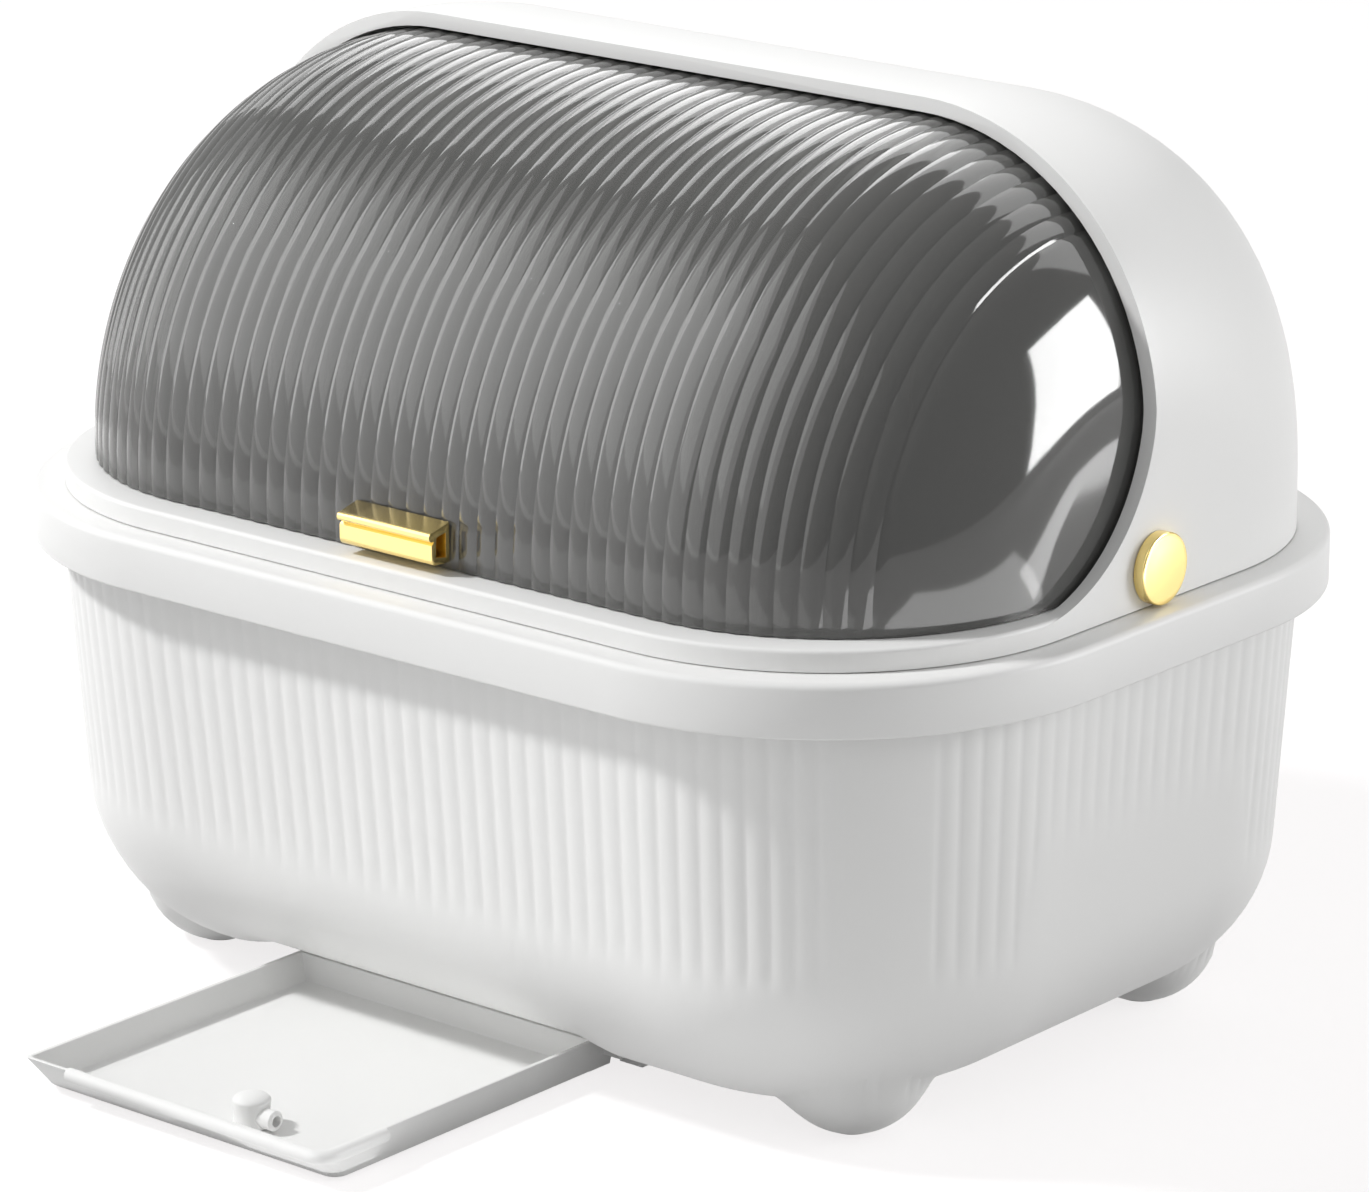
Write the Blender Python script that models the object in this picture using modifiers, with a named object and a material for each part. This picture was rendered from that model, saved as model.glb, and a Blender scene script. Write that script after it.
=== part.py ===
"""Covered dish drainer.

A fluted tub on ball feet carries a rear cover, and a smoked lid on two side pivots rolls back under it.
A rack with two plate combs and a cutlery cup stand in the tub. A drip tray slides out under its front.
Metres, +Z up, the front towards -Y. Places are measured from the tub's centre at table height, and one
empty then moves the whole drainer so that the middle of its box stands at the origin.
"""

import math

import bmesh
import bpy
from mathutils import Matrix, Vector

# Band round the tub's mouth
band_length = 0.400
band_depth = 0.293
band_corner = 0.100
band_height = 0.017
band_skin = 0.003
band_edge = 0.0025
band_overhang = 0.0095
ledge_height = 0.159

# Tub wall, floor and flutes
tub_underside = 0.0124
tub_wall = 0.003
tub_draft = 0.009
tub_floor_round = 0.046
flute_count = 158
flute_depth = 0.0007
flute_foot = 0.050
flute_full = 0.066
flute_gap_start = math.radians(30)
flute_gap_end = math.radians(46.5)
drain_radius = 0.007
drain_from_front = 0.0865

# Ball feet and pads
foot_radius = 0.025
foot_flat_height = 0.0009
foot_flat_radius = 0.009
foot_spread = 0.2674
foot_depth_spread = 0.1478
pad_radius = 0.0075
pad_thickness = 0.0014

# Cover
riser_inset = 0.0105
riser_height = 0.007
riser_edge = 0.0012
riser_lap = 0.0001
cover_rise = 0.131
cover_wall = 0.0042
cover_fullness = 2.4
cheek_round = 0.058
sill_width = 0.0155
sill_skin = 0.0035
skirt_depth = 0.009
skirt_wall = 0.003

# Lid and its pivots
pivot_over_sill = 0.005
lid_radius = 0.1253
lid_corner = 0.084
lid_wall = 0.0026
lid_front_angle = math.radians(-9)
lid_rear_angle = math.radians(94)
lid_seat_gap = 0.0004
lid_flute_count = 47
lid_flute_pitch = 0.0073
lid_flute_depth = 0.0007
ear_radius = 0.008
ear_root = 0.006
ear_clearance = 0.0015
pin_radius = 0.003
pin_tail = 0.0006
washer_radius = 0.0075
washer_seat = 0.0006
washer_thickness = 0.0023
nut_radius = 0.0055
nut_thickness = 0.0029
cap_radius = 0.0115
cap_thickness = 0.0045
cap_edge = 0.0006

# Handle
handle_length = 0.038
handle_reach = 0.0086
handle_lip = 0.0028
handle_top = 0.0155
handle_slope = 0.0025
handle_bottom = 0.003
handle_foot = 0.0024
handle_plate = 0.0016
handle_edge = 0.0004
handle_screw_spacing = 0.024
handle_screw_height = 0.0085
handle_screw_radius = 0.00145
handle_screw_head_radius = 0.003
handle_screw_head = 0.0018
handle_screw_length = 0.0046

# Rack, combs and cup
rack_inset = 0.027
rack_height = 0.040
rack_plate = 0.003
rack_rim = 0.010
rack_rim_wall = 0.0024
rack_leg_radius = 0.005
rack_leg_spread = 0.240
rack_leg_depth_spread = 0.140
slot_count = 15
slot_pitch = 0.016
slot_width = 0.006
slot_length = 0.078
slot_row_offset = 0.048
comb_offset = 0.045
comb_thickness = 0.004
comb_bar = 0.007
comb_tooth_height = 0.045
comb_tooth_foot = 0.007
comb_tooth_tip = 0.003
comb_teeth = 8
comb_pitch = 0.028
comb_middle = 0.038
cup_length = 0.060
cup_depth = 0.100
cup_height = 0.090
cup_corner = 0.014
cup_wall = 0.0022
cup_draft = 0.003
cup_end_gap = 0.012
cup_slot_width = 0.005
cup_slot_count = 3
cup_slot_pitch = 0.016

# Drip tray, its knob and its rails
tray_middle = -0.0164
tray_width = 0.1264
tray_front = 0.207
tray_lean = 0.0088
tray_back = 0.0952
tray_bottom = 0.0008
tray_height = 0.0113
tray_draft = 0.0024
tray_wall = 0.0018
tray_corner = 0.004
tray_lip_radius = 0.0023
tray_lip_rise = 0.0003
tray_lip_start = 0.018
tray_lip_wrap = 0.028
tray_travel = 0.086
arm_width = 0.005
arm_height = 0.0033
arm_bottom = 0.0053
arm_length = 0.057
arm_tab = 0.004
arm_gap = 0.001
fin_length = 0.013
fin_inset = 0.0002
knob_offset = 0.0144
knob_from_front = 0.012
knob_stem_radius = 0.0026
knob_radius = 0.006
knob_dome = 0.0025
knob_height = 0.0106
spout_radius = 0.0032
spout_reach = 0.0104
spout_height = 0.0037
spout_bore = 0.0018
spout_bore_depth = 0.0034
rail_start = 0.082
rail_length = 0.138
rail_web = 0.003
rail_top_web = 0.0031
rail_lip = 0.003
rail_lip_bottom = 0.002
rail_flange = 0.010
rail_screw_spacing = 0.090
rail_screw_start = 0.020
rail_screw_radius = 0.0016
rail_screw_head_radius = 0.0035
rail_screw_head = 0.002
rail_screw_length = 0.0105
boss_radius = 0.005
boss_height = 0.008

# Clearances
seat_gap = 0.0003
skirt_gap = 0.0004
overrun = 0.002

# Steps round curves
corner_steps = 7
section_steps = 10
round_steps = 5
small_sides = 16
cap_sides = 32

# Which side of the middle each quarter of a ring lies on, from +X towards +Y
QUARTERS = ((1, 1), (-1, 1), (-1, -1), (1, -1))

# Heights and half sizes that follow
half_length = band_length / 2
half_depth = band_depth / 2
band_bottom = ledge_height - band_height
sill_height = ledge_height + riser_height
pivot_height = sill_height + pivot_over_sill
tub_floor = tub_underside + tub_wall
foot_centre_height = foot_flat_height + math.sqrt(foot_radius**2 - foot_flat_radius**2)
cover_bottom = ledge_height + seat_gap
riser_half_length = half_length - riser_inset
riser_half_depth = half_depth - riser_inset
riser_corner = band_corner - riser_inset
cheek_inside = riser_half_length - cover_wall
lid_half_length = cheek_inside + washer_seat - 2 * seat_gap - washer_thickness
ear_inside = lid_half_length - lid_wall
rack_top = rack_height + rack_plate
cup_middle = -(half_length - rack_inset - cup_end_gap - cup_length / 2)
tray_top = tray_bottom + tray_height
tray_half = tray_width / 2
tray_lip_front = tray_front + tray_lean
frame_shift = (tray_lip_front + tray_lip_radius - half_depth) / 2


def clear_scene():
    for thing in list(bpy.data.objects):
        bpy.data.objects.remove(thing, do_unlink=True)


def collection(name):
    made = bpy.data.collections.new(name)
    bpy.context.scene.collection.children.link(made)
    return made


def material(name, colour, roughness, metallic=0.0, transmission=0.0):
    made = bpy.data.materials.new(name)
    made.use_nodes = True
    shader = made.node_tree.nodes["Principled BSDF"]
    shader.inputs["Base Color"].default_value = (*colour, 1.0)
    shader.inputs["Roughness"].default_value = roughness
    shader.inputs["Metallic"].default_value = metallic
    shader.inputs["Transmission Weight"].default_value = transmission
    made.diffuse_color = (*colour, 1.0 - transmission / 2)
    return made


clear_scene()
parts = collection("covered_dish_drainer")
cutters = collection("cutters")
drainer = bpy.data.objects.new("drainer_frame", None)
drainer.location = (0, frame_shift, 0)
parts.objects.link(drainer)

white_plastic = material("white_plastic", (0.86, 0.86, 0.85), 0.35)
tray_plastic = material("tray_plastic", (0.84, 0.84, 0.84), 0.40)
smoked_plastic = material("smoked_plastic", (0.16, 0.16, 0.155), 0.08, transmission=0.7)
gold_metal = material("gold_metal", (0.83, 0.62, 0.22), 0.25, metallic=1.0)
steel = material("steel", (0.60, 0.60, 0.60), 0.30, metallic=1.0)
natural_nylon = material("natural_nylon", (0.80, 0.78, 0.72), 0.50)
soft_pad = material("soft_pad", (0.55, 0.55, 0.54), 0.80)


def finish_mesh(name, bm, finish=None, parent=None, origin=(0, 0, 0)):
    """Makes the object, as a part where it has a material and as a hidden cutter where it has none."""
    bmesh.ops.recalc_face_normals(bm, faces=bm.faces)
    bmesh.ops.translate(bm, verts=bm.verts, vec=-Vector(origin))
    mesh = bpy.data.meshes.new(name)
    bm.to_mesh(mesh)
    bm.free()
    mesh.shade_smooth()
    mesh.set_sharp_from_angle(angle=math.radians(30))
    made = bpy.data.objects.new(name, mesh)
    made.location = origin
    if finish is None:
        cutters.objects.link(made)
        made.hide_render = True
        made.display_type = "WIRE"
    else:
        parts.objects.link(made)
        mesh.materials.append(finish)
    made.parent = parent or drainer
    return made


def pivot_empty(name, place):
    """An empty on a joint's axis, which carries the pieces that move with it."""
    made = bpy.data.objects.new(name, None)
    made.location = place
    made.parent = drainer
    parts.objects.link(made)
    return made


def carry(piece, empty):
    """Hangs a piece on an empty and keeps it where it stands."""
    piece.location = Vector(piece.location) - Vector(empty.location)
    piece.parent = empty
    return piece


def combine(piece, other, operation="DIFFERENCE"):
    boolean = piece.modifiers.new(other.name, "BOOLEAN")
    boolean.operation = operation
    boolean.object = other
    return piece


def walk(long_half, short_half, corner, share):
    """The point and outward direction at a share of a rounded rectangle's outline, from its first corner."""
    reach_x, reach_y = long_half - corner, short_half - corner
    arc = corner * math.pi / 2
    along = (share % 1) * 4 * (arc + reach_x + reach_y)
    for quarter, (side_x, side_y) in enumerate(QUARTERS):
        angle = (quarter + min(along / arc, 1)) * math.pi / 2
        out = Vector((math.cos(angle), math.sin(angle)))
        straight = 2 * (reach_y if quarter % 2 else reach_x)
        past_arc = max(along - arc, 0)
        if past_arc <= straight:
            point = Vector((side_x * reach_x, side_y * reach_y)) + corner * out
            return point + past_arc * Vector((-out.y, out.x)), out
        along = past_arc - straight
    return Vector((long_half, reach_y)), Vector((1, 0))


def rounded_ring(long_half, short_half, corner, height, steps=corner_steps):
    """A level ring of points: a rounded rectangle whose corners have this many steps."""
    ring = []
    for turn, (side_x, side_y) in enumerate(QUARTERS):
        centre = Vector((side_x * (long_half - corner), side_y * (short_half - corner)))
        for step in range(steps + 1):
            angle = (turn + step / steps) * math.pi / 2
            point = centre + corner * Vector((math.cos(angle), math.sin(angle)))
            ring.append(Vector((point.x, point.y, height)))
    return ring


def band_ring(inset, height):
    """A ring that follows the band's outline at an inset from it."""
    return rounded_ring(half_length - inset, half_depth - inset, band_corner - inset, height)


def shares_of(ring):
    """How far round a closed ring each of its points lies, as shares of its length."""
    lengths = [(ring[i] - ring[i - 1]).length for i in range(1, len(ring))]
    total = sum(lengths) + (ring[0] - ring[-1]).length
    found = [0.0]
    for length in lengths:
        found.append(found[-1] + length / total)
    return found


def zip_rings(bm, low, high):
    """Faces between two closed rings of vertices, whose counts may differ."""
    if len(low) == len(high):
        for i in range(len(low)):
            j = (i + 1) % len(low)
            bm.faces.new((low[i], low[j], high[j], high[i]))
        return
    low_shares = shares_of([v.co for v in low]) + [1.0]
    high_shares = shares_of([v.co for v in high]) + [1.0]
    i = j = 0
    while i < len(low) or j < len(high):
        first, second = low[i % len(low)], high[j % len(high)]
        if j == len(high) or (i < len(low) and low_shares[i + 1] <= high_shares[j + 1]):
            i += 1
            bm.faces.new((first, low[i % len(low)], second))
        else:
            j += 1
            bm.faces.new((first, high[j % len(high)], second))


def loft(name, rings, **how):
    """A closed body through rings of points, with a flat cap on the first and on the last."""
    bm = bmesh.new()
    made = [[bm.verts.new(point) for point in ring] for ring in rings]
    for low, high in zip(made, made[1:]):
        zip_rings(bm, low, high)
    bm.faces.new(made[0])
    bm.faces.new(made[-1])
    return finish_mesh(name, bm, **how)


def prism(name, outline, start, end, **how):
    """An outline of (y, z) places, drawn out along X."""
    rings = [[Vector((x, y, z)) for y, z in outline] for x in (start, end)]
    return loft(name, rings, **how)


def block(name, low, high, **how):
    """A box between two corners."""
    bm = bmesh.new()
    bmesh.ops.create_cube(bm, size=1)
    size = [b - a for a, b in zip(low, high)]
    middle = [(a + b) / 2 for a, b in zip(low, high)]
    bmesh.ops.transform(bm, matrix=Matrix.Translation(middle) @ Matrix.Diagonal((*size, 1)), verts=bm.verts)
    return finish_mesh(name, bm, **how)


def rod(name, start, end, radius, sides=small_sides, **how):
    """A cylinder from one point to another."""
    start, end = Vector(start), Vector(end)
    bm = bmesh.new()
    length = (end - start).length
    bmesh.ops.create_cone(bm, cap_ends=True, segments=sides, radius1=radius, radius2=radius, depth=length)
    turn = Vector((0, 0, 1)).rotation_difference(end - start).to_matrix().to_4x4()
    bmesh.ops.transform(bm, matrix=Matrix.Translation((start + end) / 2) @ turn, verts=bm.verts)
    return finish_mesh(name, bm, **how)


def bead(name, path, radius, sides=8, **how):
    """A round bead along a level path of points."""
    rings = []
    for i, point in enumerate(path):
        along = path[min(i + 1, len(path) - 1)] - path[max(i - 1, 0)]
        out = Vector((along.y, -along.x, 0)).normalized()
        angles = [(step + 0.5) / sides * math.tau for step in range(sides)]
        rings.append([point + radius * (math.cos(a) * out + Vector((0, 0, math.sin(a)))) for a in angles])
    return loft(name, rings, **how)


def turned(name, profile, place, direction, sides=small_sides, **how):
    """A profile of (radius, height) places turned about an axis through a place."""
    bm = bmesh.new()
    for a, b in zip(profile, profile[1:]):
        bm.edges.new((bm.verts.new((a[0], 0, a[1])), bm.verts.new((b[0], 0, b[1]))))
    bmesh.ops.remove_doubles(bm, verts=bm.verts, dist=band_edge / 1000)
    bmesh.ops.spin(
        bm,
        geom=bm.verts[:] + bm.edges[:],
        axis=(0, 0, 1),
        cent=(0, 0, 0),
        angle=math.tau,
        steps=sides,
        use_merge=True,
    )
    bmesh.ops.remove_doubles(bm, verts=bm.verts, dist=band_edge / 1000)
    turn = Vector((0, 0, 1)).rotation_difference(Vector(direction)).to_matrix().to_4x4()
    bmesh.ops.transform(bm, matrix=Matrix.Translation(place) @ turn, verts=bm.verts)
    return finish_mesh(name, bm, **how)


def round_inset(radius, rise):
    """How far a rounded foot draws in at a rise above its lowest line."""
    if rise >= radius:
        return 0.0
    return radius - math.sqrt(radius**2 - (radius - rise) ** 2)


def foot_rises(radius, top):
    """Heights above a rounded foot's lowest line at even steps round it, then its top."""
    steps = [radius * (1 - math.cos(step / round_steps * math.pi / 2)) for step in range(round_steps + 1)]
    return steps + [top]


def draft_at(height):
    """The tub wall's draw-in at a height."""
    return tub_draft * (band_bottom - min(height, band_bottom)) / (band_bottom - tub_underside)


def tub_ring(height):
    """The smooth outside of the tub at a height."""
    return band_ring(
        band_overhang + draft_at(height) + round_inset(tub_floor_round, height - tub_underside), height
    )


def fluted_ring(height, depth):
    """The fluted outside of the tub at a height, smooth across the middle of each corner."""
    inset = band_overhang + draft_at(height) + round_inset(tub_floor_round, height - tub_underside)
    ring = []
    for step in range(2 * flute_count):
        sizes = (half_length - inset, half_depth - inset, band_corner - inset)
        point, out = walk(*sizes, step / (2 * flute_count))
        facing = math.atan2(abs(out.y), abs(out.x))
        if step % 2 and not flute_gap_start < facing < flute_gap_end:
            point = point - depth * out
        ring.append(Vector((point.x, point.y, height)))
    return ring


def make_tub():
    """Tub, band and ball feet in one moulding, with the screw bosses and the drain hole."""
    band_rings = [
        band_ring(0, band_bottom),
        band_ring(0, ledge_height - band_edge),
        band_ring(band_edge / 4, ledge_height - band_edge / 3),
        band_ring(band_edge, ledge_height),
    ]
    tub = loft("tub", band_rings, finish=white_plastic)
    under_band = [band_ring(band_skin, band_bottom - overrun), band_ring(band_skin, ledge_height - band_skin)]
    combine(tub, loft("under_band", under_band))

    rises = [rise for rise in foot_rises(tub_floor_round, 0)[:-1] if tub_underside + rise < flute_foot]
    rings = [tub_ring(tub_underside + rise) for rise in rises]
    rings.append(fluted_ring(flute_foot, 0))
    rings.append(fluted_ring(flute_full, flute_depth))
    rings.append(fluted_ring(ledge_height - band_skin / 2, flute_depth))
    combine(tub, loft("tub_body", rings), "UNION")

    for place in foot_places():
        ball = bmesh.new()
        bmesh.ops.create_uvsphere(ball, u_segments=16, v_segments=12, radius=foot_radius)
        bmesh.ops.translate(ball, verts=ball.verts, vec=(*place, foot_centre_height))
        combine(tub, finish_mesh("foot_ball", ball), "UNION")
    low, high = (-half_length, -half_depth, -foot_radius), (half_length, half_depth, foot_flat_height)
    combine(tub, block("foot_trim", low, high))

    inner_round = tub_floor_round - tub_wall
    rings = []
    for rise in foot_rises(inner_round, band_bottom - tub_floor) + [ledge_height + overrun - tub_floor]:
        inset = band_overhang + tub_wall + draft_at(tub_floor + rise) + round_inset(inner_round, rise)
        rings.append(band_ring(inset, tub_floor + rise))
    combine(tub, loft("tub_hollow", rings))

    for x, y in rail_screw_places():
        boss = rod("boss", (x, y, tub_floor - tub_wall / 2), (x, y, tub_floor + boss_height), boss_radius)
        combine(tub, boss, "UNION")
    for x, y in rail_screw_places():
        top = tub_floor + boss_height - tub_wall / 2
        hole = (x, y, tub_underside - overrun), (x, y, top)
        combine(tub, rod("screw_hole", *hole, rail_screw_radius + seat_gap))
    y = -half_depth + drain_from_front
    drain = (tray_middle, y, tub_underside - overrun), (tray_middle, y, tub_floor + overrun)
    combine(tub, rod("drain_hole", *drain, drain_radius, sides=24))
    recess = pad_thickness + seat_gap
    for x, y in foot_places():
        combine(tub, rod("pad_recess", (x, y, -overrun), (x, y, recess), pad_radius + seat_gap, sides=24))
    return tub


def foot_places():
    return [(i * foot_spread / 2, j * foot_depth_spread / 2) for i in (-1, 1) for j in (-1, 1)]


def make_foot_pads():
    for number, (x, y) in enumerate(foot_places(), 1):
        rod(f"foot_pad_{number}", (x, y, 0), (x, y, pad_thickness), pad_radius, sides=24, finish=soft_pad)


def arch_ring(x, inset, base):
    """The dome's outline across the drainer at x, drawn in by an inset from its outside."""
    corner = riser_corner - inset
    over = min(max(abs(x) - (riser_half_length - riser_corner), 0) / corner, 1)
    drawn_in = inset + corner * (1 - math.sqrt(1 - over**2))
    half, rise = riser_half_depth - drawn_in, cover_rise - drawn_in
    points = [(-half, base)]
    for step in range(2 * section_steps + 1):
        angle = math.pi * (1 - step / (2 * section_steps))
        side, up = math.cos(angle), math.sin(angle)
        power = 2 / cover_fullness
        y = math.copysign(abs(side) ** power, side) * half
        points.append((y, pivot_height + abs(up) ** power * rise))
    points.append((half, base))
    return [Vector((x, y, z)) for y, z in points]


def dome_stations(inset):
    """Places along X where the dome's outline is taken: close together round each end."""
    corner = riser_corner - inset
    reach = [corner * math.sin(step / corner_steps * math.pi / 2) for step in range(corner_steps + 1)]
    right = [riser_half_length - riser_corner + r for r in reach]
    return [-x for x in reversed(right)] + right


def make_cover():
    """Rear dome, its cheeks, the riser and sill all round, and the skirt that centres it in the tub."""
    outer = [arch_ring(x, 0, cover_bottom) for x in dome_stations(0)]
    cover = loft("cover", outer, finish=white_plastic)
    inner = [arch_ring(x, cover_wall, cover_bottom - overrun) for x in dome_stations(cover_wall)]
    combine(cover, loft("dome_hollow", inner))

    far, low = band_depth, sill_height - riser_edge
    outline = [(-far, low)]
    for step in range(section_steps + 1):
        angle = step / section_steps * math.pi / 2
        outline.append((-cheek_round * (1 - math.sin(angle)), low + cheek_round * (1 - math.cos(angle))))
    outline += [(0, band_length), (-far, band_length)]
    combine(cover, prism("front_opening", outline, -half_length, half_length))

    riser = [
        band_ring(riser_inset + riser_lap, cover_bottom),
        band_ring(riser_inset + riser_lap, sill_height - riser_edge),
        band_ring(riser_inset + riser_edge / 3, sill_height - riser_edge / 3),
        band_ring(riser_inset + riser_edge, sill_height),
    ]
    sill = loft("sill", riser)
    skirt_inset = band_overhang + tub_wall + skirt_gap
    skirt_foot = ledge_height - skirt_depth
    skirt = [band_ring(skirt_inset, skirt_foot), band_ring(skirt_inset, cover_bottom + riser_edge)]
    combine(sill, loft("skirt", skirt), "UNION")
    hollow_inset = skirt_inset + skirt_wall
    hollow = [
        band_ring(hollow_inset, skirt_foot - overrun),
        band_ring(hollow_inset, sill_height - sill_skin),
    ]
    combine(sill, loft("skirt_hollow", hollow))
    mouth_inset = riser_inset + sill_width
    mouth = [band_ring(mouth_inset, skirt_foot - overrun), band_ring(mouth_inset, sill_height + overrun)]
    combine(sill, loft("sill_mouth", mouth))
    combine(cover, sill, "UNION")

    for side in (-1, 1):
        inner_end = side * (ear_inside - nut_thickness - pin_tail - overrun)
        pocket = (inner_end, 0, pivot_height), (side * (cheek_inside + washer_seat), 0, pivot_height)
        combine(cover, rod("ear_pocket", *pocket, ear_radius + ear_clearance, sides=20))
    across = (-half_length, 0, pivot_height), (half_length, 0, pivot_height)
    combine(cover, rod("pin_hole", *across, pin_radius + 2 * seat_gap))
    return cover


def lid_profile(inset):
    """(x, radius) places of the lid's smooth surface at an inset from its outside, left to right."""
    corner = lid_corner - inset
    straight = lid_half_length - lid_corner
    right = []
    for step in range(corner_steps + 1):
        angle = step / corner_steps * math.pi / 2
        radius = lid_radius - lid_corner + corner * math.cos(angle)
        right.append((straight + corner * math.sin(angle), radius))
    return [(-x, radius) for x, radius in reversed(right)] + right


def lid_place(along):
    """(x, radius) of the lid's smooth outside at a distance along it from its middle."""
    straight = lid_half_length - lid_corner
    angle = max(abs(along) - straight, 0) / lid_corner
    x = min(abs(along), straight) + lid_corner * math.sin(angle)
    return math.copysign(x, along), lid_radius - lid_corner + lid_corner * math.cos(angle)


def make_lid(hinge):
    """Smoked lid: a fluted wall turned about the pivots, with a round ear at each end."""
    fluted = []
    for step in range(2 * lid_flute_count + 1):
        x, radius = lid_place((step - lid_flute_count) * lid_flute_pitch / 2)
        fluted.append((x, radius - lid_flute_depth * (step % 2)))
    ends = [place for place in lid_profile(0) if abs(place[0]) > fluted[-1][0]]
    left = [place for place in ends if place[0] < 0]
    right = [place for place in ends if place[0] > 0]
    outside = [(-lid_half_length, ear_root)] + left + fluted + right + [(lid_half_length, ear_root)]
    inside = [(-ear_inside, ear_root)] + lid_profile(lid_wall) + [(ear_inside, ear_root)]
    wall = outside + inside[::-1]
    rings = []
    steps = section_steps
    for step in range(steps + 1):
        angle = lid_front_angle + (lid_rear_angle - lid_front_angle) * step / steps
        across, up = -math.cos(angle), math.sin(angle)
        rings.append([Vector((x, radius * across, pivot_height + radius * up)) for x, radius in wall])
    lid = loft("smoked_lid", rings, finish=smoked_plastic, origin=(0, 0, pivot_height))
    low = (-half_length, -band_depth, 0)
    combine(lid, block("lid_foot_trim", low, (half_length, band_depth, sill_height + lid_seat_gap)))
    for side in (-1, 1):
        ear = (side * ear_inside, 0, pivot_height), (side * lid_half_length, 0, pivot_height)
        combine(lid, rod("ear", *ear, ear_radius, sides=24), "UNION")
    across = (-half_length, 0, pivot_height), (half_length, 0, pivot_height)
    combine(lid, rod("ear_hole", *across, pin_radius + seat_gap))
    for x in handle_screw_places():
        height = sill_height + handle_screw_height
        hole = (x, -lid_radius - overrun, height), (x, -lid_radius + lid_wall + overrun, height)
        combine(lid, rod("handle_screw_hole", *hole, handle_screw_radius + seat_gap))
    return carry(lid, hinge)


def handle_screw_places():
    return (-handle_screw_spacing / 2, handle_screw_spacing / 2)


def make_handle(hinge):
    """Gold finger pull: a hollow wedge with a lip along its top, and two screws from inside the lid."""
    back = -lid_radius - seat_gap
    top, bottom = sill_height + handle_top, sill_height + handle_bottom
    lip_top = top - handle_slope
    outline = [
        (back, top),
        (back - handle_reach, lip_top),
        (back - handle_reach - handle_lip / 3, lip_top - handle_lip / 2),
        (back - handle_reach, lip_top - handle_lip),
        (back - handle_foot, bottom),
        (back, bottom),
    ]
    ends = (-handle_length / 2, handle_length / 2)
    handle = prism("lid_handle", outline, *ends, finish=gold_metal)
    bevel = handle.modifiers.new("edges", "BEVEL")
    bevel.width = handle_edge
    bevel.segments = 1
    bevel.limit_method = "ANGLE"
    hollow = [
        (back - handle_plate, top - 2 * handle_plate),
        (back - handle_reach + handle_plate, lip_top - handle_lip),
        (back - handle_plate, bottom + 2 * handle_plate),
    ]
    combine(handle, prism("handle_hollow", hollow, -handle_length, handle_length))
    height = sill_height + handle_screw_height
    for x in handle_screw_places():
        hole = (x, back + overrun, height), (x, back - handle_plate - overrun / 4, height)
        combine(handle, rod("handle_thread", *hole, handle_screw_radius + seat_gap))
    carry(handle, hinge)
    seat = -lid_radius + lid_wall + 2 * seat_gap
    for side, x in zip(("left", "right"), handle_screw_places()):
        profile = [
            (0, handle_screw_head),
            (handle_screw_head_radius, handle_screw_head),
            (handle_screw_head_radius, 0),
            (handle_screw_radius, 0),
            (handle_screw_radius, -handle_screw_length),
            (0, -handle_screw_length),
        ]
        how = {"finish": steel, "sides": 12}
        carry(turned(f"handle_screw_{side}", profile, (x, seat, height), (0, 1, 0), **how), hinge)


def make_pivots(hinge):
    """On each side a gold cap, a shoulder pin, a washer against the cheek and a nut inside the ear."""
    for side, name in ((-1, "left"), (1, "right")):
        out = (side, 0, 0)
        at = Vector((0, 0, pivot_height))

        def along(distance):
            return at + Vector((side * distance, 0, 0))

        cap_profile = [
            (0, cap_thickness),
            (cap_radius - cap_edge, cap_thickness),
            (cap_radius, cap_thickness - cap_edge),
            (cap_radius, 0),
            (0, 0),
        ]
        cap_place = along(riser_half_length + seat_gap)
        how = {"finish": gold_metal, "sides": cap_sides}
        carry(turned(f"pivot_cap_{name}", cap_profile, cap_place, out, **how), hinge)
        tail = ear_inside - seat_gap - nut_thickness - pin_tail
        pin = rod(f"pivot_pin_{name}", along(tail), along(riser_half_length), pin_radius, finish=steel)
        carry(pin, hinge)
        inner, outer = lid_half_length + seat_gap, cheek_inside + washer_seat - seat_gap
        washer = rod(f"pivot_washer_{name}", along(inner), along(outer), washer_radius, finish=natural_nylon)
        combine(washer, rod("washer_bore", along(tail), along(half_length), pin_radius + seat_gap))
        inner, outer = ear_inside - seat_gap - nut_thickness, ear_inside - seat_gap
        nut = rod(f"pivot_nut_{name}", along(inner), along(outer), nut_radius, sides=6, finish=steel)
        combine(nut, rod("nut_bore", along(tail - overrun), along(half_length), pin_radius + seat_gap))
        carry(nut, hinge)


def rack_ring(inset, height):
    return band_ring(rack_inset + inset, height)


def make_rack():
    """Raised grid with a low rim and four legs."""
    rack = loft("drain_rack", [rack_ring(0, rack_height), rack_ring(0, rack_top + rack_rim)], finish=white_plastic)
    hollow = [rack_ring(rack_rim_wall, rack_top), rack_ring(rack_rim_wall, rack_top + rack_rim + overrun)]
    combine(rack, loft("rack_hollow", hollow))
    slot_bottom, slot_top = rack_height - overrun, rack_top + overrun
    for row in (-1, 1):
        for number in range(slot_count):
            x = (number - (slot_count - 1) / 2) * slot_pitch
            y = row * slot_row_offset
            low = (x - slot_width / 2, y - slot_length / 2, slot_bottom)
            combine(rack, block("rack_slot", low, (x + slot_width / 2, y + slot_length / 2, slot_top)))
    for i in (-1, 1):
        for j in (-1, 1):
            x, y = i * rack_leg_spread / 2, j * rack_leg_depth_spread / 2
            leg = (x, y, tub_floor + seat_gap), (x, y, rack_height + rack_plate / 2)
            combine(rack, rod("rack_leg", *leg, rack_leg_radius, sides=12), "UNION")
    return rack


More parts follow.
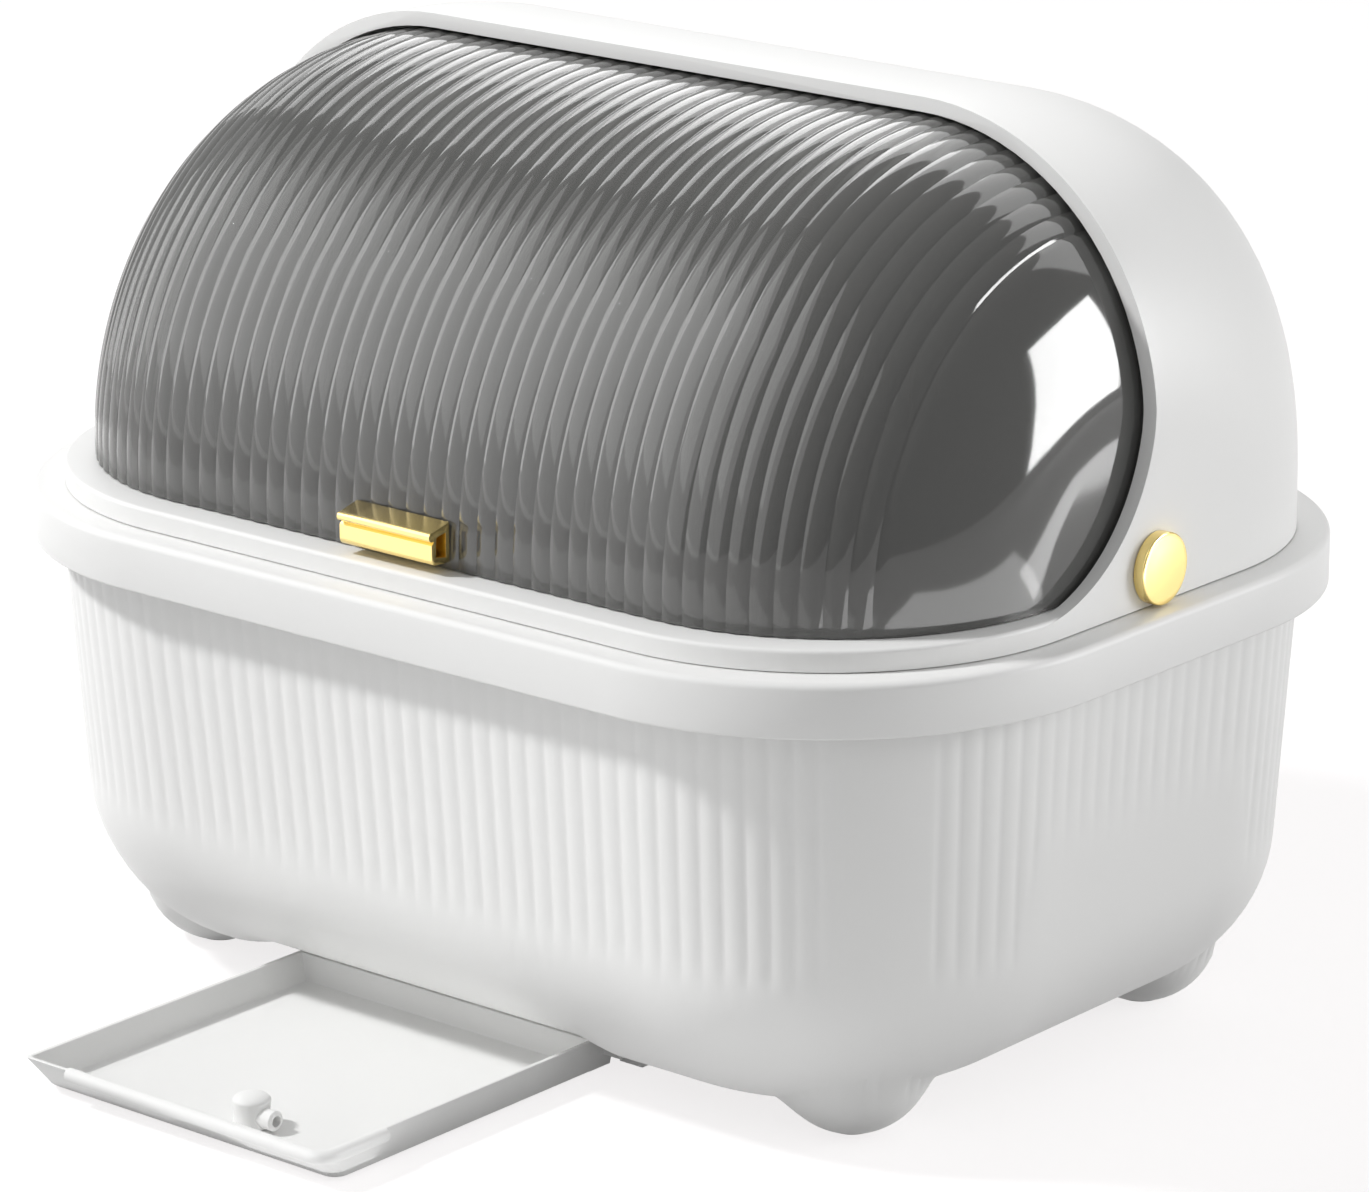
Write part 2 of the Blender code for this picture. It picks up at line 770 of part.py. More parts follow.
def make_combs():
    """Two combs whose teeth hold plates on edge."""
    span = (comb_teeth - 1) * comb_pitch + comb_tooth_foot
    start = comb_middle - span / 2
    floor = rack_top + seat_gap
    outline = [(start + span, floor), (start, floor)]
    for tooth in range(comb_teeth):
        middle = start + comb_tooth_foot / 2 + tooth * comb_pitch
        for offset, rise in (
            (-comb_tooth_foot / 2, comb_bar),
            (-comb_tooth_tip / 2, comb_bar + comb_tooth_height),
            (comb_tooth_tip / 2, comb_bar + comb_tooth_height),
            (comb_tooth_foot / 2, comb_bar),
        ):
            outline.append((middle + offset, floor + rise))
    for side, name in ((-1, "front"), (1, "rear")):
        y = side * comb_offset
        rings = [[Vector((x, y + j * comb_thickness / 2, z)) for x, z in outline] for j in (-1, 1)]
        loft(f"plate_comb_{name}", rings, finish=white_plastic)


def cup_ring(inset, height):
    """A ring of the cup, which narrows to its foot."""
    drawn_in = inset + cup_draft * (1 - (height - rack_top) / cup_height)
    sizes = (cup_length / 2 - drawn_in, cup_depth / 2 - drawn_in, cup_corner - inset)
    ring = rounded_ring(*sizes, height, steps=4)
    return [point + Vector((cup_middle, 0, 0)) for point in ring]


def make_cup():
    """Cutlery cup with drain slots in its floor."""
    floor = rack_top + seat_gap
    cup = loft("cutlery_cup", [cup_ring(0, floor), cup_ring(0, floor + cup_height)], finish=white_plastic)
    hollow = [cup_ring(cup_wall, floor + cup_wall), cup_ring(cup_wall, floor + cup_height + overrun)]
    combine(cup, loft("cup_hollow", hollow))
    for number in range(cup_slot_count):
        x = cup_middle + (number - (cup_slot_count - 1) / 2) * cup_slot_pitch
        low = (x - cup_slot_width / 2, -cup_depth / 4, floor - overrun)
        combine(cup, block("cup_slot", low, (x + cup_slot_width / 2, cup_depth / 4, floor + cup_wall + overrun)))
    return cup


def tray_ring(inset, height):
    """A ring of the drip tray, whose front leans out towards its top."""
    lean = tray_lean * (height - tray_bottom) / tray_height
    front, back = -(tray_front + lean - inset), -(tray_back + inset)
    drawn_in = inset + tray_draft * (1 - (height - tray_bottom) / tray_height)
    sizes = (tray_half - drawn_in, (back - front) / 2, tray_corner - inset)
    ring = rounded_ring(*sizes, height, steps=4)
    return [point + Vector((tray_middle, (front + back) / 2, 0)) for point in ring]


def lip_path():
    """The rolled lip's middle line: along the tray's front, round its right corner and a little way back."""
    height = tray_top + tray_lip_rise - tray_lip_radius
    wrap_end = -tray_lip_front + tray_lip_wrap
    front = [point for point in tray_ring(0, height) if point.y < wrap_end]
    left, right = min(point.x for point in front), max(point.x for point in front)
    start = Vector((left + tray_lip_start, min(point.y for point in front), height))
    corner = [point for point in front if point.x > tray_middle]
    return [start] + corner + [Vector((right, wrap_end, height))]


def tray_fin(side):
    """Tail of a side wall behind the tray's back, which the arm grows from."""
    start = -tray_back - tray_wall / 2
    rings = []
    for height in (tray_bottom + fin_inset, tray_top - fin_inset):
        drawn_in = fin_inset + tray_draft * (1 - (height - tray_bottom) / tray_height)
        ends = [tray_middle + side * (tray_half - drawn_in - width) for width in (0, tray_wall - 2 * fin_inset)]
        low_x, high_x = sorted(ends)
        corners = (low_x, start), (high_x, start), (high_x, start + fin_length), (low_x, start + fin_length)
        rings.append([Vector((x, y, height)) for x, y in corners])
    return loft("tray_fin", rings)


def make_tray(slide):
    """Drip tray with a rolled front lip and two arms that run in the rails."""
    tray = loft("drip_tray", [tray_ring(0, tray_bottom), tray_ring(0, tray_top)], finish=tray_plastic)
    hollow = [tray_ring(tray_wall, tray_bottom + tray_wall), tray_ring(tray_wall, tray_top + overrun)]
    combine(tray, loft("tray_hollow", hollow))
    combine(tray, bead("tray_lip", lip_path(), tray_lip_radius), "UNION")
    for side in (-1, 1):
        inner = tray_middle + side * (tray_half + arm_gap)
        outer = inner + side * arm_width
        combine(tray, tray_fin(side), "UNION")
        start = -tray_back - tray_wall / 2 + fin_length - arm_tab - fin_inset
        root = tray_middle + side * (tray_half - tray_wall)
        corners = [(root, start), (outer, start), (outer, start + arm_length), (inner, start + arm_length)]
        corners += [(inner, start + arm_tab), (root, start + arm_tab)]
        rings = [[Vector((x, y, z)) for x, y in corners] for z in (arm_bottom, arm_bottom + arm_height)]
        combine(tray, loft("tray_arm", rings), "UNION")
    x, y = knob_place()
    hole = (x, y, tray_bottom - overrun), (x, y, tray_bottom + tray_wall + overrun)
    combine(tray, rod("knob_hole", *hole, knob_stem_radius + seat_gap))
    return carry(tray, slide)


def knob_place():
    return tray_middle + knob_offset, -(tray_front - knob_from_front)


def make_knob(slide):
    """Domed pull knob with a short blind spout at its right, pressed by its stem into the tray's floor."""
    profile = []
    for step in range(5):
        angle = step / 4 * math.pi / 2
        height = knob_height - knob_dome * (1 - math.cos(angle))
        profile.append((knob_radius * math.sin(angle), height))
    stem_foot = -tray_wall
    profile += [(knob_radius, 0), (knob_stem_radius, 0), (knob_stem_radius, stem_foot), (0, stem_foot)]
    x, y = knob_place()
    place = (x, y, tray_bottom + tray_wall + seat_gap)
    knob = turned("tray_knob", profile, place, (0, 0, 1), sides=24, finish=white_plastic)
    height = place[2] + spout_height
    tip = (x + spout_reach, y, height)
    combine(knob, rod("spout", (x, y, height), tip, spout_radius), "UNION")
    bore = (x + spout_reach - spout_bore_depth, y, height), (x + spout_reach + overrun, y, height)
    combine(knob, rod("spout_bore", *bore, spout_bore))
    return carry(knob, slide)


def rail_screw_places():
    """Places of the rail screws, left rail first, front to back."""
    out = tray_half + 2 * arm_gap + arm_width + rail_web + rail_flange / 2
    first = -rail_start + rail_screw_start
    return [(tray_middle + i * out, first + j * rail_screw_spacing) for i in (-1, 1) for j in (0, 1)]


def make_rails():
    """Channels under the tub that carry the tray's arms, each with a flange for two screws."""
    under = tub_underside - seat_gap
    web_foot = under - rail_top_web
    for side, name in ((-1, "left"), (1, "right")):
        inner = tray_half + arm_gap / 2
        web = tray_half + 2 * arm_gap + arm_width
        outer = web + rail_web
        y, z = -rail_start, rail_lip_bottom
        outline = [
            (inner, under),
            (outer + rail_flange, under),
            (outer + rail_flange, web_foot),
            (outer, web_foot),
            (outer, z),
            (inner, z),
            (inner, z + rail_lip),
            (web, z + rail_lip),
            (web, web_foot),
            (inner, web_foot),
        ]
        rings = []
        for end in (y, y + rail_length):
            rings.append([Vector((tray_middle + side * x, end, height)) for x, height in outline])
        rail = loft(f"tray_rail_{name}", rings, finish=white_plastic)
        for x, screw_y in rail_screw_places()[:2] if side < 0 else rail_screw_places()[2:]:
            hole = (x, screw_y, web_foot - overrun), (x, screw_y, under + overrun)
            combine(rail, rod("rail_screw_hole", *hole, rail_screw_radius + seat_gap))
    for number, (x, y) in enumerate(rail_screw_places(), 1):
        profile = [
            (0, rail_screw_length),
            (rail_screw_radius, rail_screw_length),
            (rail_screw_radius, 0),
            (rail_screw_head_radius, 0),
            (rail_screw_head_radius, -rail_screw_head),
            (0, -rail_screw_head),
        ]
        place = (x, y, web_foot - seat_gap)
        turned(f"rail_screw_{number}", profile, place, (0, 0, 1), sides=12, finish=steel)


lid_hinge = pivot_empty("lid_hinge", (0, 0, pivot_height))
tray_slide = pivot_empty("tray_slide", (tray_middle, -tray_back, tray_bottom))

make_tub()
make_foot_pads()
make_rails()
make_cover()
make_lid(lid_hinge)
make_handle(lid_hinge)
make_pivots(lid_hinge)
make_rack()
make_combs()
make_cup()
make_tray(tray_slide)
make_knob(tray_slide)
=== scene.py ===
"""Covered dish drainer: a fluted tub, a smoked lid that rolls back under a rear cover, and a drip tray."""

import math

import bmesh
import bpy
from mathutils import Matrix, Quaternion, Vector


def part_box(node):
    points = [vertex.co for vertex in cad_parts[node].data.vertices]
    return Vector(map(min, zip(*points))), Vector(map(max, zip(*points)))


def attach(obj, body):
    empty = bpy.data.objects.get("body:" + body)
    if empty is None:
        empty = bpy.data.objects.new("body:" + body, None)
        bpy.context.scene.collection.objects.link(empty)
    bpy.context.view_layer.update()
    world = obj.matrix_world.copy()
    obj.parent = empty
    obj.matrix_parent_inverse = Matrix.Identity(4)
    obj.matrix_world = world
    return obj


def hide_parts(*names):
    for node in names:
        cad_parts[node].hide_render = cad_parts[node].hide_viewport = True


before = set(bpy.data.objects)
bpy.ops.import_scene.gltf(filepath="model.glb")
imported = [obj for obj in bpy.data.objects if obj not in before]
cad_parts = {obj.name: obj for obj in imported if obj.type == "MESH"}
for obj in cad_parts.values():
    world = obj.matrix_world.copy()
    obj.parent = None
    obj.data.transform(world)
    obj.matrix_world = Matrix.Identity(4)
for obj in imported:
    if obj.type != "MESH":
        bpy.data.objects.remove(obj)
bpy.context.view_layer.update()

# The tub and its band, one moulding.
# The real one is injection moulded in white ABS: a thin wall with soft upright flutes, a deep hollow band
# round the mouth that stiffens it, and four ball feet that flow out of its floor.
mm = 0.001
tub_low, tub_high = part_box("tub")
middle = Vector(((tub_low.x + tub_high.x) / 2, (tub_low.y + tub_high.y) / 2, 0))
band_half_x, band_half_y, band_corner = 200 * mm, 146.5 * mm, 100 * mm
band_foot, ledge = 142 * mm, 159 * mm
band_skin, band_round, band_lip_round = 3 * mm, 2.2 * mm, 0.8 * mm
wall_inset, wall_draft, wall = 9.5 * mm, 9 * mm, 3 * mm
underside, floor_round = 12.4 * mm, 46 * mm
flutes, samples_per_flute, flute_depth, flute_crest = 158, 8, 0.5 * mm, 1.8
flute_foot, flute_full, end_flute_foot, end_flute_full = 48 * mm, 70 * mm, 90 * mm, 108 * mm
end_facing, corner_fade = (math.radians(3), math.radians(9)), math.radians(2.5)
smooth_corner = (math.radians(30), math.radians(46.5))
foot_x, foot_y, foot_radius, foot_flat = 133.7 * mm, 73.9 * mm, 25 * mm, 0.9 * mm
foot_flat_radius, foot_blend = 9 * mm, 7 * mm
foot_places = [(i * foot_x, j * foot_y) for i in (-1, 1) for j in (-1, 1)]
pad_half, pad_recess = 7.5 * mm, 1.7 * mm
tray_x = -16.4 * mm
belly_droop, belly_rise = 3 * mm, 32 * mm
belly_start, belly_front, belly_full = 66 * mm, 57 * mm, 84 * mm
# Pieces that touch keep this gap between them
gap = 0.3 * mm


def smooth(low, high, value):
    """0 below low, 1 above high, and an even S between them."""
    share = min(max((value - low) / (high - low), 0.0), 1.0)
    return share * share * (3 - 2 * share)


def even(span, steps):
    """Even steps from nought to a span, with both ends."""
    return [step / steps * span for step in range(steps + 1)]


def outline(half_x, half_y, corner, count):
    """Points at even steps round a rounded rectangle, each with the direction it faces."""
    reach_x, reach_y, arc = half_x - corner, half_y - corner, corner * math.pi / 2
    total = 4 * (arc + reach_x + reach_y)
    found = []
    for step in range(count):
        along = step / count * total
        for quarter, (side_x, side_y) in enumerate(((1, 1), (-1, 1), (-1, -1), (1, -1))):
            straight = 2 * (reach_y if quarter % 2 else reach_x)
            if along > arc + straight and quarter < 3:
                along -= arc + straight
                continue
            angle = (quarter + (min(along / arc, 1) if arc else 0)) * math.pi / 2
            out = Vector((math.cos(angle), math.sin(angle), 0))
            point = Vector((side_x * reach_x, side_y * reach_y, 0)) + corner * out
            found.append((point + max(along - arc, 0) * Vector((-out.y, out.x, 0)), out))
            break
    return found


def band_ring(inset, height, count, push=None):
    """A level ring at an inset from the band's outline; push says how far in each point moves besides."""
    around = outline(band_half_x - inset, band_half_y - inset, band_corner - inset, count)
    ring = []
    for index, (point, out) in enumerate(around):
        offset = push(index, out, height) if push else 0
        ring.append(Vector((point.x - offset * out.x, point.y - offset * out.y, height)))
    return ring


# Edges that turn by more than this stay crisp
crease = math.radians(32)


def piece_from(name, bm):
    """Turns a mesh built round the tub's middle into an object in its place."""
    bmesh.ops.recalc_face_normals(bm, faces=bm.faces)
    bmesh.ops.translate(bm, verts=bm.verts, vec=middle)
    mesh = bpy.data.meshes.new(name)
    bm.to_mesh(mesh)
    bm.free()
    mesh.shade_smooth()
    mesh.set_sharp_from_angle(angle=crease)
    made = bpy.data.objects.new(name, mesh)
    bpy.context.scene.collection.objects.link(made)
    return made


def skin(bm, rings, caps=True):
    """Faces through closed rings of equal length, and over the first and the last as caps."""
    made = [[bm.verts.new(point) for point in ring] for ring in rings]
    for low, high in zip(made, made[1:]):
        for i in range(len(low)):
            j = (i + 1) % len(low)
            bm.faces.new((low[i], low[j], high[j], high[i]))
    if caps:
        bm.faces.new(made[0])
        bm.faces.new(made[-1])
    return made


def lofted(name, rings):
    """A closed solid through rings."""
    bm = bmesh.new()
    skin(bm, rings)
    return piece_from(name, bm)


def joined(piece, cutter, operation="DIFFERENCE"):
    """Cuts or joins another solid into a piece for good, and removes the other one."""
    boolean = piece.modifiers.new("cut", "BOOLEAN")
    boolean.operation = operation
    boolean.solver = "EXACT"
    boolean.object = cutter
    settled(piece)
    bpy.data.objects.remove(cutter, do_unlink=True)


def settled(piece, angle=crease):
    """Applies a piece's modifiers to its mesh."""
    view = bpy.context.evaluated_depsgraph_get()
    mesh = bpy.data.meshes.new_from_object(piece.evaluated_get(view))
    piece.modifiers.clear()
    piece.data = mesh
    mesh.shade_smooth()
    mesh.set_sharp_from_angle(angle=angle)
    return piece


def turned(name, profile, place, direction, sides=48):
    """A profile of (radius, height) turned about an axis through a place."""
    bm = bmesh.new()
    rings = []
    for radius, height in profile[1:-1]:
        steps = (math.tau * i / sides for i in range(sides))
        rings.append([Vector((radius * math.cos(a), radius * math.sin(a), height)) for a in steps])
    made = skin(bm, rings, caps=False)
    for ring, (_, height) in ((made[0], profile[0]), (made[-1], profile[-1])):
        tip = bm.verts.new((0, 0, height))
        for i in range(sides):
            bm.faces.new((ring[i], ring[(i + 1) % sides], tip))
    turn = Vector((0, 0, 1)).rotation_difference(Vector(direction)).to_matrix().to_4x4()
    bmesh.ops.transform(bm, matrix=Matrix.Translation(place) @ turn, verts=bm.verts)
    return piece_from(name, bm)


def rod(name, start, end, radius, sides=48):
    """A plain cylinder between two points, for cutting and joining."""
    start, end = Vector(start), Vector(end)
    profile = [(0, 0), (radius, 0), (radius, (end - start).length), (0, (end - start).length)]
    return turned(name, profile, start, end - start, sides)


def draft_at(height):
    """How far the wall has drawn in below the band, for the mould's draft."""
    return wall_draft * (band_foot - min(height, band_foot)) / (band_foot - underside)


def quarter_round(radius, leg):
    """How far a quarter round has gone one way from its end, by how far it has gone the other way."""
    return radius - math.sqrt(max(radius**2 - (radius - min(leg, radius)) ** 2, 0))


def flute(index, out, height):
    """Depth of the flutes: soft crests, a crisp line between them, fading low down and on the corners."""
    across = (index % samples_per_flute) / samples_per_flute
    facing = math.atan2(abs(out.y), abs(out.x))
    start, end = smooth_corner
    fade = 1 - smooth(start - corner_fade, start, facing) * (1 - smooth(end, end + corner_fade, facing))
    at_end = 1 - smooth(*end_facing, facing)
    foot = flute_foot + (end_flute_foot - flute_foot) * at_end
    full = flute_full + (end_flute_full - flute_full) * at_end
    return flute_depth * (fade * smooth(foot, full, height)) * abs(2 * across - 1) ** flute_crest


def foot_drop(point):
    """Lowers a point of the underside: the belly beside the tray, and the softly blended ball feet."""
    aside = smooth(belly_start, belly_full, abs(point.x - tray_x))
    low_down = 1 - smooth(underside, underside + belly_rise, point.z)
    height = point.z - belly_droop * aside * low_down * smooth(belly_front, belly_full, -point.y)
    for x, y in foot_places:
        away = math.hypot(point.x - x, point.y - y)
        if away < foot_radius:
            centre = foot_flat + math.sqrt(foot_radius**2 - foot_flat_radius**2)
            ball = max(centre - math.sqrt(foot_radius**2 - away**2), foot_flat)
            near = max(foot_blend - abs(ball - height), 0) / foot_blend
            height = min(ball, height) - near * near * foot_blend / 4
    return Vector((point.x, point.y, max(height, foot_flat)))


# Out over the underside, up the wall, round the band, and down inside to the floor
ring_points = flutes * samples_per_flute
# How far each ring of the underside draws in: by even turns at its rounded edge, then by even steps
draws = [floor_round * (1 - math.cos(angle)) for angle in even(math.radians(33), 6)]
draws += [draw * mm for draw in range(10, 74, 2)]
rings = []
for draw in reversed(draws):
    height = underside + quarter_round(floor_round, draw)
    inset = wall_inset + draft_at(height) + draw
    rings.append([foot_drop(point) for point in band_ring(inset, height, ring_points)])
wall_heights = (62, 66, 70, 75, 81, 87, 93, 98, 103, 108, 116, 126, 136, 148, 156)
for height in (height * mm for height in wall_heights):
    rings.append(band_ring(wall_inset + draft_at(height), height, ring_points, flute))
nook = 0.4 * mm
rings.append(band_ring(band_skin, ledge - band_skin, ring_points))
rings.append(band_ring(band_skin, band_foot + nook, ring_points))
rings.append(band_ring(band_skin - nook, band_foot, ring_points))
for angle in even(math.pi / 2, 3):
    height = band_foot + band_lip_round * (1 - math.cos(angle))
    rings.append(band_ring(band_lip_round * (1 - math.sin(angle)), height, ring_points))
for angle in even(math.pi / 2, 5):
    height = ledge - band_round * (1 - math.sin(angle))
    rings.append(band_ring(band_round * (1 - math.cos(angle)), height, ring_points))
inner, inner_round, tub_floor = wall_inset + wall, floor_round - wall, underside + wall
for outwards, below in ((0.7 * mm, 0), (0.2 * mm, 0.2 * mm), (0, 0.8 * mm)):
    rings.append(band_ring(inner - outwards, ledge - below, ring_points))
rings.append(band_ring(inner, band_foot, ring_points))
for angle in even(math.pi / 2, 8):
    curve = inner_round * (1 - math.sin(angle))
    height = tub_floor + curve
    inset = inner + draft_at(height) + quarter_round(inner_round, curve)
    rings.append(band_ring(inset, height, ring_points))
tub = lofted("tub_moulding", rings)

cut_over = 2 * mm
rail_x, rail_screw_y, screw_hole = 78.2 * mm, (-62 * mm, 28 * mm), 1.9 * mm
screw_places = [(tray_x + i * rail_x, y) for i in (-1, 1) for y in rail_screw_y]
boss_radius, boss_rise, boss_edge, boss_sunk, boss_bore = 5 * mm, 8 * mm, 0.4 * mm, 1.5 * mm, 6.5 * mm
boss = [(0, -boss_sunk), (boss_radius, -boss_sunk), (boss_radius, boss_rise - boss_edge)]
boss += [(boss_radius - boss_edge, boss_rise), (0, boss_rise)]
for x, y in screw_places:
    joined(tub, turned("boss", boss, (x, y, tub_floor), (0, 0, 1), 32), "UNION")
for x, y in screw_places:
    start, end = (x, y, underside - cut_over), (x, y, tub_floor + boss_bore)
    joined(tub, rod("screw_hole", start, end, screw_hole, 24))
drain_y, drain_radius, drain_flare, drain_slope, drain_lap = -60 * mm, 7 * mm, 10 * mm, 1.4 * mm, 0.05 * mm
drain = [(0, -2 * cut_over), (drain_radius, -2 * cut_over), (drain_radius, wall - drain_slope)]
drain += [(drain_flare, wall + drain_lap), (drain_flare, wall + cut_over), (0, wall + cut_over)]
joined(tub, turned("drain", drain, (tray_x, drain_y, underside), (0, 0, 1), 64))
for x, y in foot_places:
    joined(tub, rod("pad_recess", (x, y, -mm), (x, y, pad_recess), pad_half + gap, 64))
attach(tub, "tub")
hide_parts("tub")


def linear(code):
    """A colour from its sRGB hex value."""
    shares = [int(code[i : i + 2], 16) / 255 for i in (1, 3, 5)]
    return [s / 12.92 if s <= 0.04045 else ((s + 0.055) / 1.055) ** 2.4 for s in shares] + [1.0]


def node(tree, kind, links=None, **settings):
    """Adds a node, sets its properties and sockets, and links sockets by name or number."""
    made = tree.nodes.new(kind)
    for name, value in settings.items():
        if hasattr(made, name):
            setattr(made, name, value)
        else:
            made.inputs[name.replace("_", " ")].default_value = value
    for name, source in (links or {}).items():
        tree.links.new(source, made.inputs[name])
    return made


def shader_of(name):
    """A new material's tree and its Principled shader."""
    made = bpy.data.materials.new(name)
    made.use_nodes = True
    return made, made.node_tree, made.node_tree.nodes["Principled BSDF"]


def moulded_abs(name, light, dark, roughness):
    """Injection moulded ABS: opaque, half glossy, with faint flow clouding and a fine spark-eroded grain."""
    made, tree, shader = shader_of(name)
    place = node(tree, "ShaderNodeTexCoord").outputs["Object"]
    # Clouding about 60 mm across, from the melt's flow
    cloud = node(tree, "ShaderNodeTexNoise", {"Vector": place}, Scale=1 / (60 * mm), Detail=2.0)
    tone = node(tree, "ShaderNodeMix", {"Factor": cloud.outputs["Fac"]}, data_type="RGBA")
    tone.inputs[6].default_value, tone.inputs[7].default_value = linear(dark), linear(light)
    tree.links.new(tone.outputs[2], shader.inputs["Base Color"])
    # Grain of 0.6 mm, coarser than the mould's own 0.1 mm so that it shows
    grain = node(tree, "ShaderNodeTexNoise", {"Vector": place}, Scale=1 / (0.6 * mm), Detail=3.0)
    bump = node(tree, "ShaderNodeBump", {"Height": grain.outputs["Fac"]}, Strength=0.06, Distance=0.05 * mm)
    tree.links.new(bump.outputs["Normal"], shader.inputs["Normal"])
    low, high = roughness - 0.03, roughness + 0.03
    sheen = node(tree, "ShaderNodeMapRange", {"Value": cloud.outputs["Fac"]}, To_Min=low, To_Max=high)
    tree.links.new(sheen.outputs["Result"], shader.inputs["Roughness"])
    shader.inputs["IOR"].default_value = 1.46
    return made


white_abs = moulded_abs("white_abs_moulded", "#f0f0ef", "#eeeeed", 0.46)
tub.data.materials.append(white_abs)

# The pads let into the ball feet: die-cut soft rubber discs, stuck into shallow recesses.
# They are grey and matt, with a fine pebbled face.
pad_rubber, tree, shader = shader_of("soft_rubber_pebbled")
place = node(tree, "ShaderNodeTexCoord").outputs["Object"]
# Pebbles of 0.9 mm, each darker and lower at its rim; the darkening is painted shade in the hollows
pebbles = node(tree, "ShaderNodeTexVoronoi", {"Vector": place}, Scale=1 / (0.9 * mm))
bump = node(tree, "ShaderNodeBump", {"Height": pebbles.outputs["Distance"]}, Strength=0.5, Distance=0.12 * mm)
# Painted shade: the colour darkens where the pebbles are lower
tone = node(tree, "ShaderNodeValToRGB", {"Fac": pebbles.outputs["Distance"]})
tone.color_ramp.elements[0].color, tone.color_ramp.elements[1].color = linear("#bcbcba"), linear("#d0d0ce")
tree.links.new(tone.outputs["Color"], shader.inputs["Base Color"])
tree.links.new(bump.outputs["Normal"], shader.inputs["Normal"])
shader.inputs["Roughness"].default_value = 0.75
pad_edge, pad_height = 0.35 * mm, 1.4 * mm
disc = [(0, 0), (pad_half - pad_edge, 0), (pad_half, pad_edge), (pad_half, pad_height), (0, pad_height)]
for number, (x, y) in enumerate(foot_places, 1):
    pad = turned(f"foot_disc_{number}", disc, (x, y, 0), (0, 0, 1))
    pad.data.materials.append(pad_rubber)
    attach(pad, "tub")
    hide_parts(f"foot_pad_{number}")

# The two rails under the floor: white ABS channels that the tray's arms slide in.
# Each is held by two pan-head stainless screws driven up into the floor's bosses.
rail_start, rail_length, rail_half, rail_foot = -82 * mm, 138 * mm, 63.7 * mm, 2 * mm
rail_top, flange_foot, flange, web_outer = underside - gap, underside - 3.4 * mm, 10 * mm, 73.2 * mm
arm_space, arm_sill = 70.2 * mm, 5 * mm


def eased(piece, width, angle=40):
    """Rounds a piece's edges a little, where they turn by more than an angle."""
    bevel = piece.modifiers.new("eased", "BEVEL")
    bevel.width, bevel.segments = width, 2
    bevel.limit_method, bevel.angle_limit = "ANGLE", math.radians(angle)
    return settled(piece, math.radians(50))


section = [
    (rail_half, rail_top),
    (web_outer + flange, rail_top),
    (web_outer + flange, flange_foot),
    (web_outer, flange_foot),
    (web_outer, rail_foot),
    (rail_half, rail_foot),
    (rail_half, arm_sill),
    (arm_space, arm_sill),
    (arm_space, flange_foot),
    (rail_half, flange_foot),
]
for side, label, fixings in ((-1, "left", screw_places[:2]), (1, "right", screw_places[2:])):
    ends = (rail_start, rail_start + rail_length)
    rings = [[Vector((tray_x + side * x, y, z)) for x, z in section] for y in ends]
    rail = lofted(f"rail_channel_{label}", rings)
    for x, y in fixings:
        joined(rail, rod("hole", (x, y, flange_foot - mm), (x, y, rail_top + mm), screw_hole, 24))
    eased(rail, 0.4 * mm)
    rail.data.materials.append(white_abs)
    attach(rail, "tub")
    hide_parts(f"tray_rail_{label}")

steel, tree, shader = shader_of("stainless_steel_turned")
place = node(tree, "ShaderNodeTexCoord").outputs["Object"]
# Tool marks of 0.5 mm, coarser than a lathe's so that they show, which give a drawn-out sheen
marks = node(tree, "ShaderNodeTexNoise", {"Vector": place}, Scale=1 / (0.5 * mm), Detail=4.0)
tone = node(tree, "ShaderNodeMapRange", {"Value": marks.outputs["Fac"]}, To_Min=0.22, To_Max=0.38)
tree.links.new(tone.outputs["Result"], shader.inputs["Roughness"])
shader.inputs["Base Color"].default_value = linear("#b9b9b6")
shader.inputs["Metallic"].default_value = 1.0


def block(name, matrix):
    """A unit cube under a matrix, for cutting."""
    bm = bmesh.new()
    bmesh.ops.create_cube(bm, size=1)
    bmesh.ops.transform(bm, matrix=matrix, verts=bm.verts)
    return piece_from(name, bm)


def screw(name, place, direction, sizes, body, cad_node):
    """A pan-head screw with a cross recess; direction points from its head to its tip."""
    head, rise, shank, length = sizes
    dome = [(0, -rise)]
    for angle in even(math.pi / 2, 6)[1:-1]:
        dome.append((head * math.sin(angle), -rise * math.cos(angle) ** 0.7))
    dome += [(head, -0.25 * rise), (head, 0), (shank, 0), (shank, length - shank), (0, length)]
    made = turned(name, dome, place, direction, 32)
    axis = Vector(direction).normalized()
    across = axis.orthogonal().normalized()
    arm_length, arm_width, arm_depth = head * 1.15, head * 0.26, rise * 1.1
    recess = Matrix.Diagonal((arm_length, arm_width, arm_depth, 1))
    for arm in (across, axis.cross(across)):
        basis = Matrix((arm, axis.cross(arm), axis)).transposed().to_4x4()
        joined(made, block("recess", Matrix.Translation(Vector(place) - axis * rise) @ basis @ recess))
    made.data.materials.append(steel)
    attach(made, body)
    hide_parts(cad_node)


rail_fixing = 3.5 * mm, 2 * mm, 1.6 * mm, 10.5 * mm
for number, (x, y) in enumerate(screw_places, 1):
    place = (x, y, flange_foot - gap)
    screw(f"rail_fixing_{number}", place, (0, 0, 1), rail_fixing, "tub", f"rail_screw_{number}")

# The rack that keeps the dishes above the water: a white ABS grid with a low rim, on four legs.
# Two snap-in combs stand across it and hold plates on edge.
rack_inset, rack_foot, rack_plate, rack_rim, rim_wall = 27 * mm, 40 * mm, 3 * mm, 10 * mm, 2.4 * mm
rack_top, rack_points = rack_foot + rack_plate, 176
slot_half, slot_reach, slot_pitch, slots_in_row, row_y = 3 * mm, 36 * mm, 16 * mm, 15, 48 * mm
leg_x, leg_y, leg_radius, leg_edge = 120 * mm, 70 * mm, 5 * mm, 0.8 * mm


def rack_ring(inset, height):
    return band_ring(rack_inset + inset, height, rack_points)


